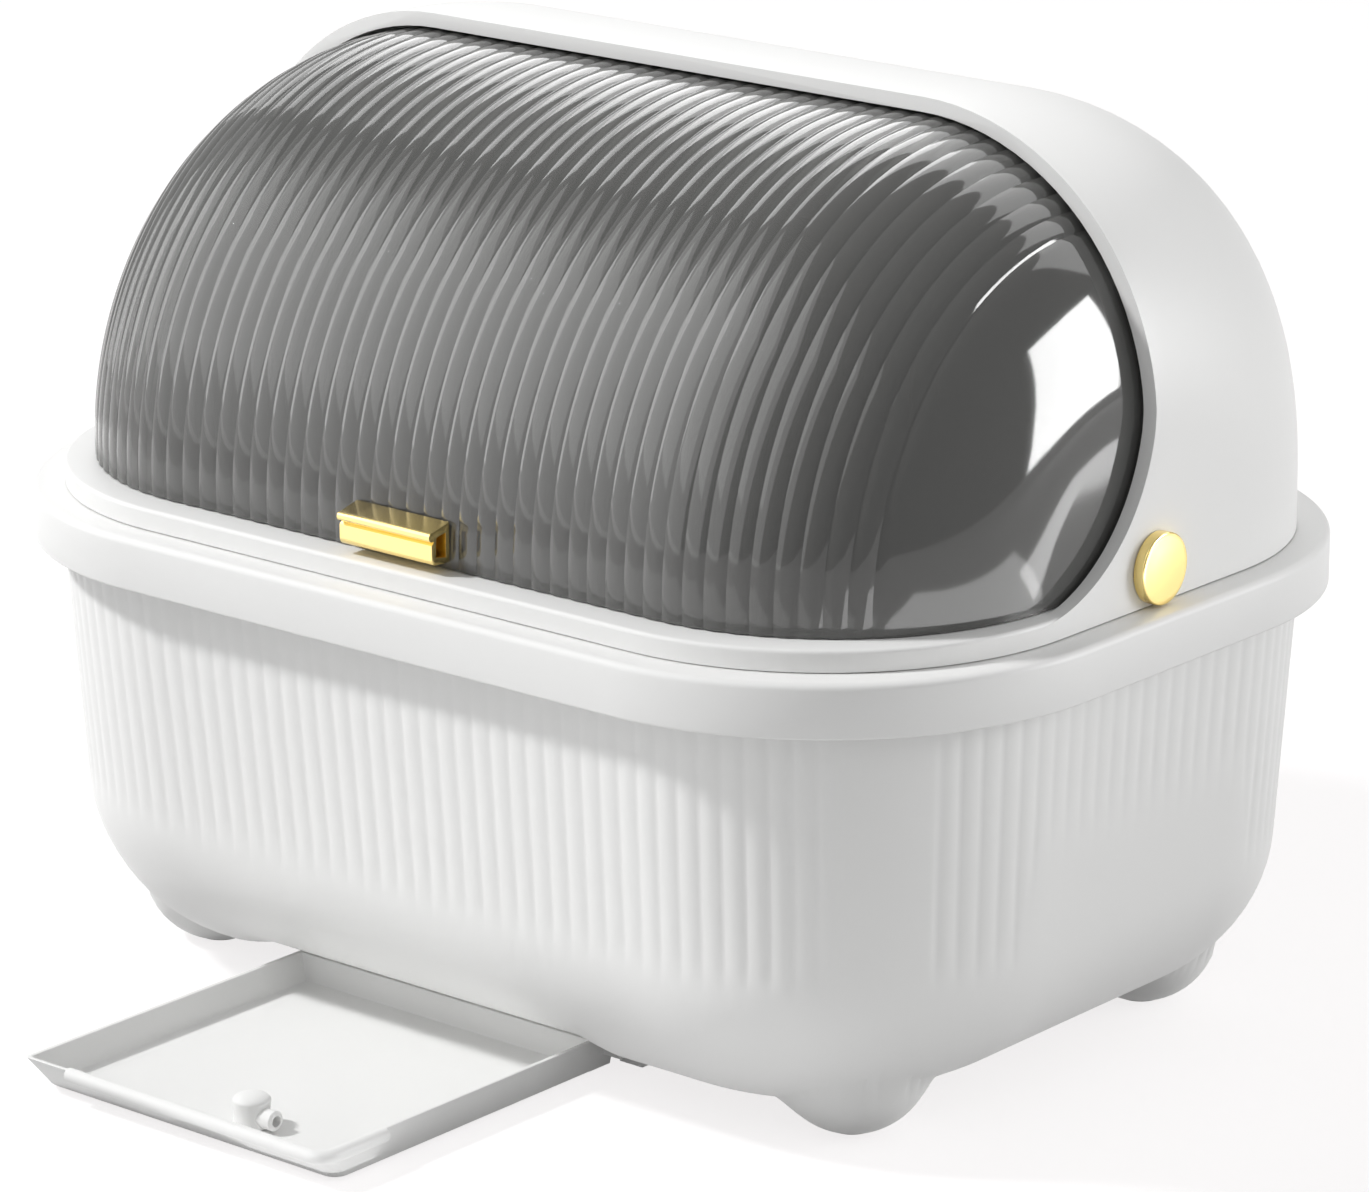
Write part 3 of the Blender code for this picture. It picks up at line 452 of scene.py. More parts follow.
def rolled_edge(ring, wall_width, top, steps):
    """Rings over the half-round top edge of a wall."""
    over = wall_width / 2
    return [ring(over - over * math.cos(a), top - over + over * math.sin(a)) for a in even(math.pi, steps)]


lower_edge = (1.2 * mm, 0), (0.3 * mm, 0.4 * mm), (0, 1.2 * mm)
floor_edge = (0, mm), (0.3 * mm, 0.3 * mm), (mm, 0)
rings = [rack_ring(inset, rack_foot + rise) for inset, rise in lower_edge]
rings += rolled_edge(rack_ring, rim_wall, rack_top + rack_rim, 8)
rings += [rack_ring(rim_wall + inset, rack_top + rise) for inset, rise in floor_edge]
rack = lofted("rack_grid", rings)
slots = bmesh.new()
for row in (-1, 1):
    for number in range(slots_in_row):
        x, y = (number - slots_in_row // 2) * slot_pitch, row * row_y
        ends = []
        for z in (rack_foot - cut_over, rack_top + cut_over):
            ring = []
            for end, start in ((1, 0), (-1, math.pi)):
                for angle in even(math.pi, 8):
                    across, along = slot_half * math.cos(start + angle), slot_half * math.sin(start + angle)
                    ring.append(Vector((x + across, y + end * slot_reach + along, z)))
            ends.append(ring)
        skin(slots, ends)
joined(rack, piece_from("slots", slots))
leg_foot, leg_top = tub_floor + gap, rack_foot + 1.5 * mm
leg = [(0, 0), (leg_radius - leg_edge, 0), (leg_radius, leg_edge), (leg_radius, leg_top - leg_foot)]
leg.append((0, leg_top - leg_foot))
for i in (-1, 1):
    for j in (-1, 1):
        joined(rack, turned("leg", leg, (i * leg_x, j * leg_y, leg_foot), (0, 0, 1), 32), "UNION")
rack.data.materials.append(white_abs)
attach(rack, "rack")
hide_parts("drain_rack")

comb_foot, comb_bar, comb_half, comb_y, tooth_rise = rack_top + gap, 7 * mm, 2 * mm, 45 * mm, 45 * mm
tooth_foot, tooth_tip, tooth_pitch, teeth, comb_middle = 7 * mm, 3 * mm, 28 * mm, 8, 38 * mm
comb_length = (teeth - 1) * tooth_pitch + tooth_foot
comb_start, shoulder, tip = comb_middle - comb_length / 2, comb_foot + comb_bar, tooth_tip / 2
section = [(comb_start + comb_length, comb_foot), (comb_start, comb_foot)]
for tooth in range(teeth):
    centre = comb_start + tooth_foot / 2 + tooth * tooth_pitch
    section.append((centre - tooth_foot / 2, shoulder))
    for angle in reversed(even(math.pi, 6)):
        section.append((centre + tip * math.cos(angle), shoulder + tooth_rise - tip + tip * math.sin(angle)))
    section.append((centre + tooth_foot / 2, shoulder))
for side, label in ((-1, "front"), (1, "rear")):
    rows = [[Vector((x, side * comb_y + j * comb_half, z)) for x, z in section] for j in (-1, 1)]
    comb = eased(lofted(f"comb_{label}", rows), 0.6 * mm, 60)
    comb.data.materials.append(white_abs)
    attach(comb, "rack")
    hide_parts(f"plate_comb_{label}")

# The cutlery cup: a thin-walled white ABS box with a drained floor, which lifts out of the rack.
# Its corners are well rounded, and its mouth has a rolled rim.
cup_x, cup_half_x, cup_half_y, cup_corner = -131 * mm, 30 * mm, 50 * mm, 14 * mm
cup_wall, cup_rise, cup_taper, cup_points = 2.2 * mm, 90 * mm, 3 * mm, 96
cup_foot = rack_top + gap
cup_slot, cup_slot_length, cup_slot_pitch = 5 * mm, 50 * mm, 16 * mm


def cup_ring(inset, height):
    taper = cup_taper * (1 - (height - cup_foot) / cup_rise)
    around = outline(cup_half_x - taper - inset, cup_half_y - taper - inset, cup_corner - inset, cup_points)
    return [Vector((point.x + cup_x, point.y, height)) for point, _ in around]


lower_edge = (1.5 * mm, 0), (0.4 * mm, 0.5 * mm), (0, 1.6 * mm)
floor_edge = (0, 2 * mm), (0.6 * mm, 0.6 * mm), (2 * mm, 0)
rings = [cup_ring(inset, cup_foot + rise) for inset, rise in lower_edge]
rings += rolled_edge(cup_ring, cup_wall, cup_foot + cup_rise, 6)
rings += [cup_ring(cup_wall + inset, cup_foot + cup_wall + rise) for inset, rise in floor_edge]
cup = lofted("cutlery_box", rings)
for number in (-1, 0, 1):
    size = Matrix.Diagonal((cup_slot, cup_slot_length, 3 * cup_wall, 1))
    at = Matrix.Translation((cup_x + number * cup_slot_pitch, 0, cup_foot + cup_wall / 2))
    joined(cup, block("slot", at @ size))
cup.data.materials.append(white_abs)
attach(cup, "cup")
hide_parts("cutlery_cup")

# The rear cover, its cheeks and the sill that runs round the front, one moulding in white ABS.
# It drops over the tub's mouth, where a short skirt centres it, and its cheeks sweep down into the sill.
pivot_z, pin_hole, cheek_round = 171 * mm, 3.6 * mm, 58 * mm
riser_inset, sill_top, sill_edge, cover_foot = 10.5 * mm, 166 * mm, 1.2 * mm, 159.3 * mm
shell_rise, shell_wall, fullness = 131 * mm, 4.8 * mm, 2.4
shell_half_x, shell_half_y = band_half_x - riser_inset, band_half_y - riser_inset
shell_corner, cheek_inside = band_corner - riser_inset, shell_half_x - shell_wall
ear_space, ear_space_start, ear_space_sunk = 9.5 * mm, 172 * mm, 0.6 * mm
outside_edge, inside_edge = 3.6 * mm, 0.6 * mm


def arch(x, inset, base, steps=64):
    """The dome's outline across the drainer at x."""
    corner = shell_corner - inset
    over = min(max(abs(x) - (shell_half_x - shell_corner), 0) / corner, 1)
    in_by = inset + corner * (1 - math.sqrt(1 - over**2))
    half, rise = shell_half_y - in_by, shell_rise - in_by
    ring = [Vector((x, -half, base))]
    for step in range(steps + 1):
        angle = math.pi * (1 - step / steps)
        side, up = math.cos(angle), math.sin(angle)
        y = math.copysign(abs(side) ** (2 / fullness), side) * half
        ring.append(Vector((x, y, pivot_z + abs(up) ** (2 / fullness) * rise)))
    return ring + [Vector((x, half, base))]


def stations(inset, steps=22, straight=8):
    """Places along X for the dome's outlines, close together round each end."""
    corner, reach = shell_corner - inset, shell_half_x - shell_corner
    right = [reach + corner * math.sin(step / steps * math.pi / 2) for step in range(steps + 1)]
    between = [reach * (2 * step / straight - 1) for step in range(1, straight)]
    return [-x for x in reversed(right)] + between + right


cover = lofted("cover_moulding", [arch(x, 0, cover_foot) for x in stations(0)])
hollow = [arch(x, shell_wall, cover_foot - cut_over) for x in stations(shell_wall)]
joined(cover, lofted("hollow", hollow))
cut_low, far = sill_top - sill_edge, 300 * mm
section = [(-far, cut_low)]
for angle in even(math.pi / 2, 32):
    section.append((-cheek_round * (1 - math.sin(angle)), cut_low + cheek_round * (1 - math.cos(angle))))
section += [(0, far * 2), (-far, far * 2)]
joined(cover, lofted("opening", [[Vector((x, y, z)) for y, z in section] for x in (-far, far)]))


def rounded_cut_edges(piece, width, near):
    """Rounds the sharp edges that lie where near says."""
    bm = bmesh.new()
    bm.from_mesh(piece.data)
    edges = []
    for edge in bm.edges:
        if len(edge.link_faces) == 2 and edge.calc_face_angle(0) > math.radians(40):
            if all(near(vert.co - middle) for vert in edge.verts):
                edges.append(edge)
    how = {"segments": 5, "profile": 0.5, "affect": "EDGES", "clamp_overlap": True, "miter_outer": "ARC"}
    bmesh.ops.bevel(bm, geom=edges, offset=width, **how)
    bm.to_mesh(piece.data)
    bm.free()
    piece.data.shade_smooth()
    piece.data.set_sharp_from_angle(angle=crease)


above_sill, near_seam, near_sweep, near_outside = 0.5 * mm, 0.05 * mm, 0.12 * mm, 1.5 * mm


def on_opening(place):
    """Whether a place lies on the opening's edge, on the seam plane or on the cheeks' sweep."""
    if place.z < cut_low + above_sill:
        return False
    if place.z > cut_low + cheek_round:
        return abs(place.y) < near_seam
    across, up = place.y + cheek_round, place.z - cut_low - cheek_round
    return abs(math.hypot(across, up) - cheek_round) < near_sweep


def outer_side(place):
    """Whether a place on the opening's edge lies on the dome's outside."""
    reach, level = shell_half_x - shell_corner, pivot_z + shell_rise - shell_corner
    out = math.hypot(max(abs(place.x) - reach, 0), max(place.z - level, 0))
    return shell_corner - out < near_outside


rounded_cut_edges(cover, outside_edge, lambda place: on_opening(place) and outer_side(place))
rounded_cut_edges(cover, inside_edge, lambda place: on_opening(place) and not outer_side(place))

sill_points = 352


def sill_ring(inset, height):
    return band_ring(inset, height, sill_points)


skirt_inset, skirt_wall, skirt_foot, sill_skin = 12.9 * mm, 3 * mm, 150 * mm, 3.5 * mm
mouth_inset, mouth_edge = riser_inset + 15.5 * mm, 1.0 * mm
# The riser stands a hair inside the shell's face, so that the two join into one
lap = 0.05 * mm
rings = [
    sill_ring(skirt_inset, cover_foot),
    sill_ring(riser_inset + 0.5 * mm, cover_foot),
    sill_ring(riser_inset + lap, cover_foot + 0.5 * mm),
]
for angle in even(math.pi / 2, 5):
    inset = riser_inset + lap + sill_edge * (1 - math.cos(angle))
    rings.append(sill_ring(inset, sill_top - sill_edge * (1 - math.sin(angle))))
for angle in even(math.pi / 2, 4):
    inset = mouth_inset - mouth_edge * (1 - math.sin(angle))
    rings.append(sill_ring(inset, sill_top - mouth_edge * (1 - math.cos(angle))))
rings += [
    sill_ring(mouth_inset, sill_top - sill_skin),
    sill_ring(skirt_inset + skirt_wall, sill_top - sill_skin),
    sill_ring(skirt_inset + skirt_wall, skirt_foot + 0.5 * mm),
    sill_ring(skirt_inset + skirt_wall - 0.6 * mm, skirt_foot),
    sill_ring(skirt_inset + 0.8 * mm, skirt_foot),
    sill_ring(skirt_inset, skirt_foot + 1.2 * mm),
    sill_ring(skirt_inset, cover_foot),
]
bm = bmesh.new()
made = skin(bm, rings, caps=False)
bmesh.ops.remove_doubles(bm, verts=made[0] + made[-1], dist=0.001 * mm)
joined(cover, piece_from("sill", bm), "UNION")
for side in (-1, 1):
    start, end = (side * ear_space_start, 0, pivot_z), (side * (cheek_inside + ear_space_sunk), 0, pivot_z)
    joined(cover, rod("ear_space", start, end, ear_space))
joined(cover, rod("pin_hole", (-far, 0, pivot_z), (far, 0, pivot_z), pin_hole, 32))
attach(cover, "cover")
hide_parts("cover")
cover.data.materials.append(white_abs)

# The lid: smoked clear polycarbonate, moulded with flutes that run up over it and stop before its round ends.
# It turns on a pin at each end and rolls back under the cover, and its ears lie just inside the cheeks.
lid_radius, lid_half, lid_corner, lid_wall = 125.3 * mm, 183 * mm, 84 * mm, 2.6 * mm
lid_foot, lid_rear = 166.4 * mm, math.radians(94)
lid_pitch, lid_flutes, lid_flute_depth, lid_crest = 7.3 * mm, 47, 0.6 * mm, 2.2
lid_steps, end_steps, inside_steps = 72, 28, 40
ear_inside, ear_root = lid_half - lid_wall, 5.2 * mm
ear_radius, ear_edge, ear_hole = 8 * mm, 0.3 * mm, 3.3 * mm
handle_screw_x, handle_screw_z, handle_hole, cut_past = 12 * mm, sill_top + 8.5 * mm, 1.75 * mm, 3 * mm


def lid_place(along, inset):
    """(x, radius) of the lid's outline at an inset, by the distance along its outside from the middle."""
    straight, corner = lid_half - lid_corner, lid_corner - inset
    angle = max(abs(along) - straight, 0) / lid_corner
    x = min(abs(along), straight) + corner * math.sin(angle)
    return math.copysign(x, along), lid_radius - lid_corner + corner * math.cos(angle)


# Broad crests with a crisp line between them; the last line lies where the smooth end begins
fluted, to_ear = lid_flutes * lid_pitch / 2, lid_half - lid_corner + lid_corner * math.pi / 2
half_samples = samples_per_flute * lid_flutes // 2
outside = []
for step in range(-half_samples, half_samples + 1):
    depth = lid_flute_depth * abs(2 * (step / samples_per_flute % 1) - 1) ** lid_crest
    outside.append(lid_place(step * lid_pitch / samples_per_flute, depth))
smooth_end = [fluted + more for more in even(to_ear - fluted, end_steps)[1:]]
outside = [lid_place(-along, 0) for along in reversed(smooth_end)] + outside
outside += [lid_place(along, 0) for along in smooth_end]
steps = range(-inside_steps, inside_steps + 1)
inside = [lid_place(to_ear * step / inside_steps, lid_wall) for step in steps]
section = [(-lid_half, ear_root)] + outside + [(lid_half, ear_root)]
section += [(ear_inside, ear_root)] + inside[::-1] + [(-ear_inside, ear_root)]
rings = []
for step in range(lid_steps + 1):
    ring = []
    for x, radius in section:
        start = -math.asin(min((pivot_z - lid_foot) / radius, 1))
        angle = start + (lid_rear - start) * step / lid_steps
        ring.append(Vector((x, -radius * math.cos(angle), pivot_z + radius * math.sin(angle))))
    rings.append(ring)
lid = lofted("lid_moulding", rings)
ear = [(0, 0), (ear_radius - ear_edge, 0), (ear_radius, ear_edge), (ear_radius, lid_wall), (0, lid_wall)]
for side in (-1, 1):
    joined(lid, turned("ear", ear, (side * lid_half, 0, pivot_z), (-side, 0, 0), 64), "UNION")
joined(lid, rod("ear_hole", (-far, 0, pivot_z), (far, 0, pivot_z), ear_hole, 32))
for x in (-handle_screw_x, handle_screw_x):
    start = (x, -lid_radius - cut_past, handle_screw_z)
    end = (x, -lid_radius + lid_wall + cut_past, handle_screw_z)
    joined(lid, rod("hole", start, end, handle_hole, 24))
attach(lid, "lid")
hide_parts("smoked_lid")

smoked, tree, shader = shader_of("smoked_polycarbonate_moulded")
# Clear plastic with a grey dye: dark in its depth, with a faint haze of its own and a polished skin
place = node(tree, "ShaderNodeTexCoord").outputs["Object"]
ripple = node(tree, "ShaderNodeTexNoise", {"Vector": place}, Scale=1 / (14 * mm), Detail=1.0)
bump = node(tree, "ShaderNodeBump", {"Height": ripple.outputs["Fac"]}, Strength=0.05, Distance=0.3 * mm)
haze = node(tree, "ShaderNodeTexNoise", {"Vector": place}, Scale=1 / (40 * mm), Detail=2.0)
tone = node(tree, "ShaderNodeMix", {"Factor": haze.outputs["Fac"]}, data_type="RGBA")
tone.inputs[6].default_value, tone.inputs[7].default_value = linear("#787876"), linear("#7e7e7c")
tree.links.new(tone.outputs[2], shader.inputs["Base Color"])
tree.links.new(bump.outputs["Normal"], shader.inputs["Normal"])
shader.inputs["Roughness"].default_value = 0.06
shader.inputs["IOR"].default_value = 1.58
shader.inputs["Transmission Weight"].default_value = 0.55
lid.data.materials.append(smoked)

# The finger pull at the lid's foot: folded brass strip, gold plated, open at both ends.
# Its rolled lip gives the finger its hold, and two screws from inside the lid hold it.
gold, tree, shader = shader_of("brass_gold_plated")
place = node(tree, "ShaderNodeTexCoord").outputs["Object"]
# Polishing lines of 0.3 mm along the strip
stretch = node(tree, "ShaderNodeMapping", {"Vector": place}, Scale=(0.12, 1, 1))
place = stretch.outputs["Vector"]
lines = node(tree, "ShaderNodeTexNoise", {"Vector": place}, Scale=1 / (0.3 * mm), Detail=3.0)
tone = node(tree, "ShaderNodeMapRange", {"Value": lines.outputs["Fac"]}, To_Min=0.16, To_Max=0.26)
tree.links.new(tone.outputs["Result"], shader.inputs["Roughness"])
shader.inputs["Base Color"].default_value = linear("#f4dc94")
shader.inputs["Metallic"].default_value = 1.0

pull_half, pull_back = 19 * mm, -lid_radius - gap
pull_top, pull_foot = sill_top + 15.5 * mm, sill_top + 3 * mm
roll_radius, roll_start, roll_turn = 1.5 * mm, math.radians(75), math.radians(210)
roll_y, roll_z = pull_back - 7.6 * mm, pull_top - 3.3 * mm
face_y, foot_round, foot_turn = roll_y - 0.3 * mm, 2.4 * mm, math.radians(62)
section = [(pull_back, pull_top)]
for turn in even(roll_turn, 10):
    angle = roll_start + turn
    section.append((roll_y + roll_radius * math.cos(angle), roll_z + roll_radius * math.sin(angle)))
section += [(roll_y + 0.7 * mm, roll_z - 1.7 * mm), (face_y, roll_z - 2.6 * mm)]
for angle in even(foot_turn, 6):
    y, z = face_y + foot_round * (1 - math.cos(angle)), pull_foot + foot_round * (1 - math.sin(angle))
    section.append((y, z))
section += [(pull_back - 2.4 * mm, pull_foot), (pull_back, pull_foot)]
cavity = [
    (pull_back - 1.6 * mm, pull_top - 3.0 * mm),
    (roll_y + 1.9 * mm, roll_z - 0.5 * mm),
    (face_y + 1.8 * mm, pull_foot + 2.6 * mm),
    (pull_back - 1.6 * mm, pull_foot + 1.8 * mm),
]
pull = lofted("finger_pull", [[Vector((x, y, z)) for y, z in section] for x in (-pull_half, pull_half)])
joined(pull, lofted("cavity", [[Vector((x, y, z)) for y, z in cavity] for x in (-far, far)]))
eased(pull, 0.3 * mm, 50)
for x in (-handle_screw_x, handle_screw_x):
    start, end = (x, pull_back + mm, handle_screw_z), (x, pull_back - 1.2 * mm, handle_screw_z)
    joined(pull, rod("hole", start, end, handle_hole, 24))
pull.data.materials.append(gold)
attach(pull, "lid")
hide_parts("lid_handle")
pull_fixing = 3 * mm, 1.8 * mm, 1.45 * mm, 4.6 * mm
for x, label in ((-handle_screw_x, "left"), (handle_screw_x, "right")):
    place = (x, -lid_radius + lid_wall + 0.6 * mm, handle_screw_z)
    screw(f"pull_fixing_{label}", place, (0, -1, 0), pull_fixing, "lid", f"handle_screw_{label}")

# The pivots: a gold-plated brass cap outside each cheek, on a stainless shoulder pin through cheek and ear.
# A natural nylon washer keeps ear and cheek apart, and a small nut holds the pin inside the lid.
nylon, tree, shader = shader_of("nylon_natural_moulded")
place = node(tree, "ShaderNodeTexCoord").outputs["Object"]
# Milky clouding of 4 mm, as in a part without dye
milk = node(tree, "ShaderNodeTexNoise", {"Vector": place}, Scale=1 / (4 * mm))
tone = node(tree, "ShaderNodeMix", {"Factor": milk.outputs["Fac"]}, data_type="RGBA")
tone.inputs[6].default_value, tone.inputs[7].default_value = linear("#dcd9cf"), linear("#e6e3da")
tree.links.new(tone.outputs[2], shader.inputs["Base Color"])
shader.inputs["Roughness"].default_value = 0.5
shader.inputs["Subsurface Weight"].default_value = 0.2
shader.inputs["Subsurface Scale"].default_value = 1.5 * mm
pin_radius, pin_edge, pin_proud = 3 * mm, 0.5 * mm, 0.6 * mm
cap_radius, cap_thickness, cap_crown = 11.2 * mm, 4 * mm, 0.25 * mm
cap_edge, cap_bevel = 0.55 * mm, 0.2 * mm
nut_thickness, nut_radius, washer_radius = 2.9 * mm, 5.5 * mm, 7.5 * mm
axle = Vector((0, 0, pivot_z))
# The cap's face is slightly crowned, with a bright rolled edge
face = [(0, cap_thickness)]
for share in (0.3, 0.6, 0.85):
    face.append((cap_radius * share, cap_thickness - cap_crown * share**2))
for angle in even(math.pi / 2, 4):
    drop = cap_edge * (1 - math.cos(angle)) + cap_bevel
    face.append((cap_radius - cap_edge * (1 - math.sin(angle)), cap_thickness - drop))
face += [(cap_radius, cap_bevel), (cap_radius - cap_bevel, 0), (0, 0)]
nut_start, nut_end = ear_inside - gap - nut_thickness, ear_inside - gap
pin_start = nut_start - pin_proud
pin_length = shell_half_x - pin_start
shaft = [(0, 0), (pin_radius - pin_edge, 0), (pin_radius, pin_edge)]
shaft += [(pin_radius, pin_length), (0, pin_length)]
washer_start, washer_end = lid_half + gap, cheek_inside + gap
for side, label in ((-1, "left"), (1, "right")):
    out = Vector((side, 0, 0))
    cap = turned(f"gold_cap_{label}", face, axle + out * (shell_half_x + gap), out, 96)
    cap.data.materials.append(gold)
    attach(cap, "lid")
    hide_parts(f"pivot_cap_{label}")
    pin = turned(f"shoulder_pin_{label}", shaft, axle + out * pin_start, out)
    pin.data.materials.append(steel)
    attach(pin, "lid")
    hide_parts(f"pivot_pin_{label}")
    start, end = axle + out * washer_start, axle + out * washer_end
    washer = rod(f"nylon_washer_{label}", start, end, washer_radius, 64)
    joined(washer, rod("bore", axle, axle + out * far, pin_radius + gap))
    eased(washer, 0.2 * mm)
    washer.data.materials.append(nylon)
    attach(washer, "cover")
    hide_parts(f"pivot_washer_{label}")
    nut = rod(f"pin_nut_{label}", axle + out * nut_start, axle + out * nut_end, nut_radius, 6)
    joined(nut, rod("bore", axle, axle + out * far, pin_radius + gap))
    eased(nut, 0.25 * mm, 50)
    nut.data.materials.append(steel)
    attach(nut, "lid")
    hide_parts(f"pivot_nut_{label}")

# The drip tray: a shallow white ABS tray with a front lip rolled outwards, pulled out from under the tub.
# Two arms reach back from its sides into the rails, and a small knob stands near its lip.
tray_half, tray_back, tray_front, tray_lean = 63.2 * mm, -92.2 * mm, -207 * mm, 8.8 * mm
tray_foot, tray_rise, tray_wall, tray_draft = 0.8 * mm, 11.3 * mm, 1.8 * mm, 2.4 * mm
tray_top = tray_foot + tray_rise
tray_back_corner, tray_left_corner, tray_right_corner, least_corner = 1 * mm, 2.2 * mm, 5 * mm, 0.3 * mm


def tray_ring(inset, height):
    """A ring of the tray, whose front and sides lean out towards its top."""
    share = (height - tray_foot) / tray_rise
    front, back = tray_front - tray_lean * share + inset, tray_back - inset
    half = tray_half - tray_draft * (1 - share) - inset
    right, left = tray_x + half, tray_x - half
    ring = []
    for (x, y), corner, turn in (
        ((right, back), tray_back_corner, 0),
        ((left, back), tray_back_corner, 1),
        ((left, front), tray_left_corner, 2),
        ((right, front), tray_right_corner, 3),
    ):
        corner = max(corner - inset, least_corner)
        side_x, side_y = (-1 if turn in (0, 3) else 1), (-1 if turn in (0, 1) else 1)
        for step in range(9):
            angle = (turn + step / 8) * math.pi / 2
            centre = Vector((x + side_x * corner, y + side_y * corner, height))
            ring.append(centre + corner * Vector((math.cos(angle), math.sin(angle), 0)))
    return ring


tray_edge, edge_middle, tray_floor = 0.5 * mm, 0.15 * mm, tray_foot + tray_wall
tray_section = [
    (0.8 * mm, tray_foot),
    (0.2 * mm, tray_foot + 0.2 * mm),
    (0, tray_foot + 0.8 * mm),
    (0, tray_top - tray_edge),
    (edge_middle, tray_top - edge_middle),
    (tray_edge, tray_top),
    (tray_wall - tray_edge, tray_top),
    (tray_wall - edge_middle, tray_top - edge_middle),
    (tray_wall, tray_top - tray_edge),
    (tray_wall, tray_floor + 0.7 * mm),
    (tray_wall + 0.2 * mm, tray_floor + 0.2 * mm),
    (tray_wall + 0.7 * mm, tray_floor),
]
tray = lofted("tray_pan", [tray_ring(inset, height) for inset, height in tray_section])


def bead(name, path, radius, sides=20):
    """A round bead along a level path of points."""
    rings = []
    for i, point in enumerate(path):
        along = path[min(i + 1, len(path) - 1)] - path[max(i - 1, 0)]
        out = Vector((along.y, -along.x, 0)).normalized()
        angles = [(step + 0.5) / sides * math.tau for step in range(sides)]
        rings.append([point + radius * (math.cos(a) * out + Vector((0, 0, math.sin(a)))) for a in angles])
    return lofted(name, rings)


lip_radius, lip_start, lip_wrap = 2.3 * mm, 18 * mm, 28 * mm
lip_height = tray_top + 0.3 * mm - lip_radius
lip_end = tray_front - tray_lean + lip_wrap
around = [point for point in tray_ring(0, lip_height) if point.y < lip_end]
left, right = min(point.x for point in around), max(point.x for point in around)
path = [Vector((left + lip_start, min(point.y for point in around), lip_height))]
path += [point for point in around if point.x > tray_x] + [Vector((right, lip_end, lip_height))]
joined(tray, bead("lip", path, lip_radius), "UNION")
# Each side wall runs on behind the back as a short fin, and an arm turns out of it to run along the rail
fin_start, fin_end, fin_wall, fin_short = tray_back - tray_wall / 2, -83.1 * mm, 1.6 * mm, 0.2 * mm
arm_start, arm_end, arm_foot, arm_top = -87.1 * mm, -30.1 * mm, 5.3 * mm, 8.6 * mm
arm_root, arm_inner, arm_outer = tray_half - tray_wall, tray_half + mm, tray_half + 6 * mm
arm_turn = arm_start + 3.6 * mm
arm_plan = [(arm_root, arm_start), (arm_outer, arm_start), (arm_outer, arm_end)]
arm_plan += [(arm_inner, arm_end), (arm_inner, arm_turn), (arm_root, arm_turn)]
for side in (-1, 1):
    rings = []
    for height in (tray_foot + fin_short, tray_top - fin_short):
        outer = tray_half - lap - tray_draft * (1 - (height - tray_foot) / tray_rise)
        within = outer - fin_wall
        ends = (outer, fin_start), (outer, fin_end), (within, fin_end), (within, fin_start)
        rings.append([Vector((tray_x + side * x, y, height)) for x, y in ends])
    joined(tray, lofted("fin", rings), "UNION")
    rings = [[Vector((tray_x + side * x, y, z)) for x, y in arm_plan] for z in (arm_foot, arm_top)]
    joined(tray, lofted("arm", rings), "UNION")
knob_x, knob_y, knob_foot, knob_hole = tray_x + 14.4 * mm, -195 * mm, tray_floor + gap, 2.9 * mm
joined(tray, rod("hole", (knob_x, knob_y, -mm), (knob_x, knob_y, tray_floor + cut_over), knob_hole, 32))
tray_abs = moulded_abs("tray_abs_moulded", "#efefee", "#ededec", 0.45)
tray.data.materials.append(tray_abs)
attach(tray, "tray")
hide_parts("drip_tray")

knob_radius, knob_rise, knob_crown, knob_waist, knob_stem = 6 * mm, 10.6 * mm, 2.5 * mm, 5.4 * mm, 2.6 * mm
waist_rise, collar_rise, collar_edge = 3 * mm, 1.2 * mm, 0.3 * mm
spout_rise, spout_radius, spout_length = 3.7 * mm, 3.2 * mm, 10.4 * mm
spout_edge, spout_bore = 0.6 * mm, 1.8 * mm
profile = []
for angle in even(math.pi / 2, 8):
    profile.append((knob_radius * math.sin(angle), knob_rise - knob_crown * (1 - math.cos(angle))))
profile += [(knob_waist, waist_rise), (knob_radius, collar_rise), (knob_radius, collar_edge)]
profile += [(knob_radius - collar_edge, 0), (knob_stem, 0), (knob_stem, -tray_wall), (0, -tray_wall)]
knob = turned("pull_knob", profile, (knob_x, knob_y, knob_foot), (0, 0, 1), 64)
spout = [(0, 0), (spout_radius, 0), (spout_radius, spout_length - spout_edge)]
spout += [(spout_radius - spout_edge, spout_length), (0, spout_length)]
spout_height = knob_foot + spout_rise
joined(knob, turned("spout", spout, (knob_x, knob_y, spout_height), (1, 0, 0)), "UNION")
start = (knob_x + knob_radius + mm, knob_y, spout_height)
end = (knob_x + spout_length + cut_over, knob_y, spout_height)
joined(knob, rod("bore", start, end, spout_bore, 32))
knob.data.materials.append(white_abs)
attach(knob, "tray")
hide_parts("tray_knob")

# The studio: a pale paper sweep, two soft boxes that light the drainer, reflectors that only its gloss shows,
# and the camera. The sweep shows white to the camera and keeps a light shadow under the drainer.
sweep_mesh = bpy.data.meshes.new("sweep")
sweep_half = 6.0
corners = [(i * sweep_half, j * sweep_half, 0) for i, j in ((-1, -1), (1, -1), (1, 1), (-1, 1))]
sweep_mesh.from_pydata(corners, [], [(0, 1, 2, 3)])
sweep = bpy.data.objects.new("sweep", sweep_mesh)
bpy.context.scene.collection.objects.link(sweep)
sweep_paper, tree, shader = shader_of("sweep_paper")
tree.nodes.remove(shader)
out = tree.nodes["Material Output"]
rays = node(tree, "ShaderNodeLightPath")
seen = rays.outputs["Is Camera Ray"]
for kind in ("Is Transmission Ray", "Is Glossy Ray"):
    seen = node(tree, "ShaderNodeMath", {0: seen, 1: rays.outputs[kind]}, operation="MAXIMUM").outputs[0]
paper = node(tree, "ShaderNodeBsdfDiffuse", Color=linear("#c0c0c0"))
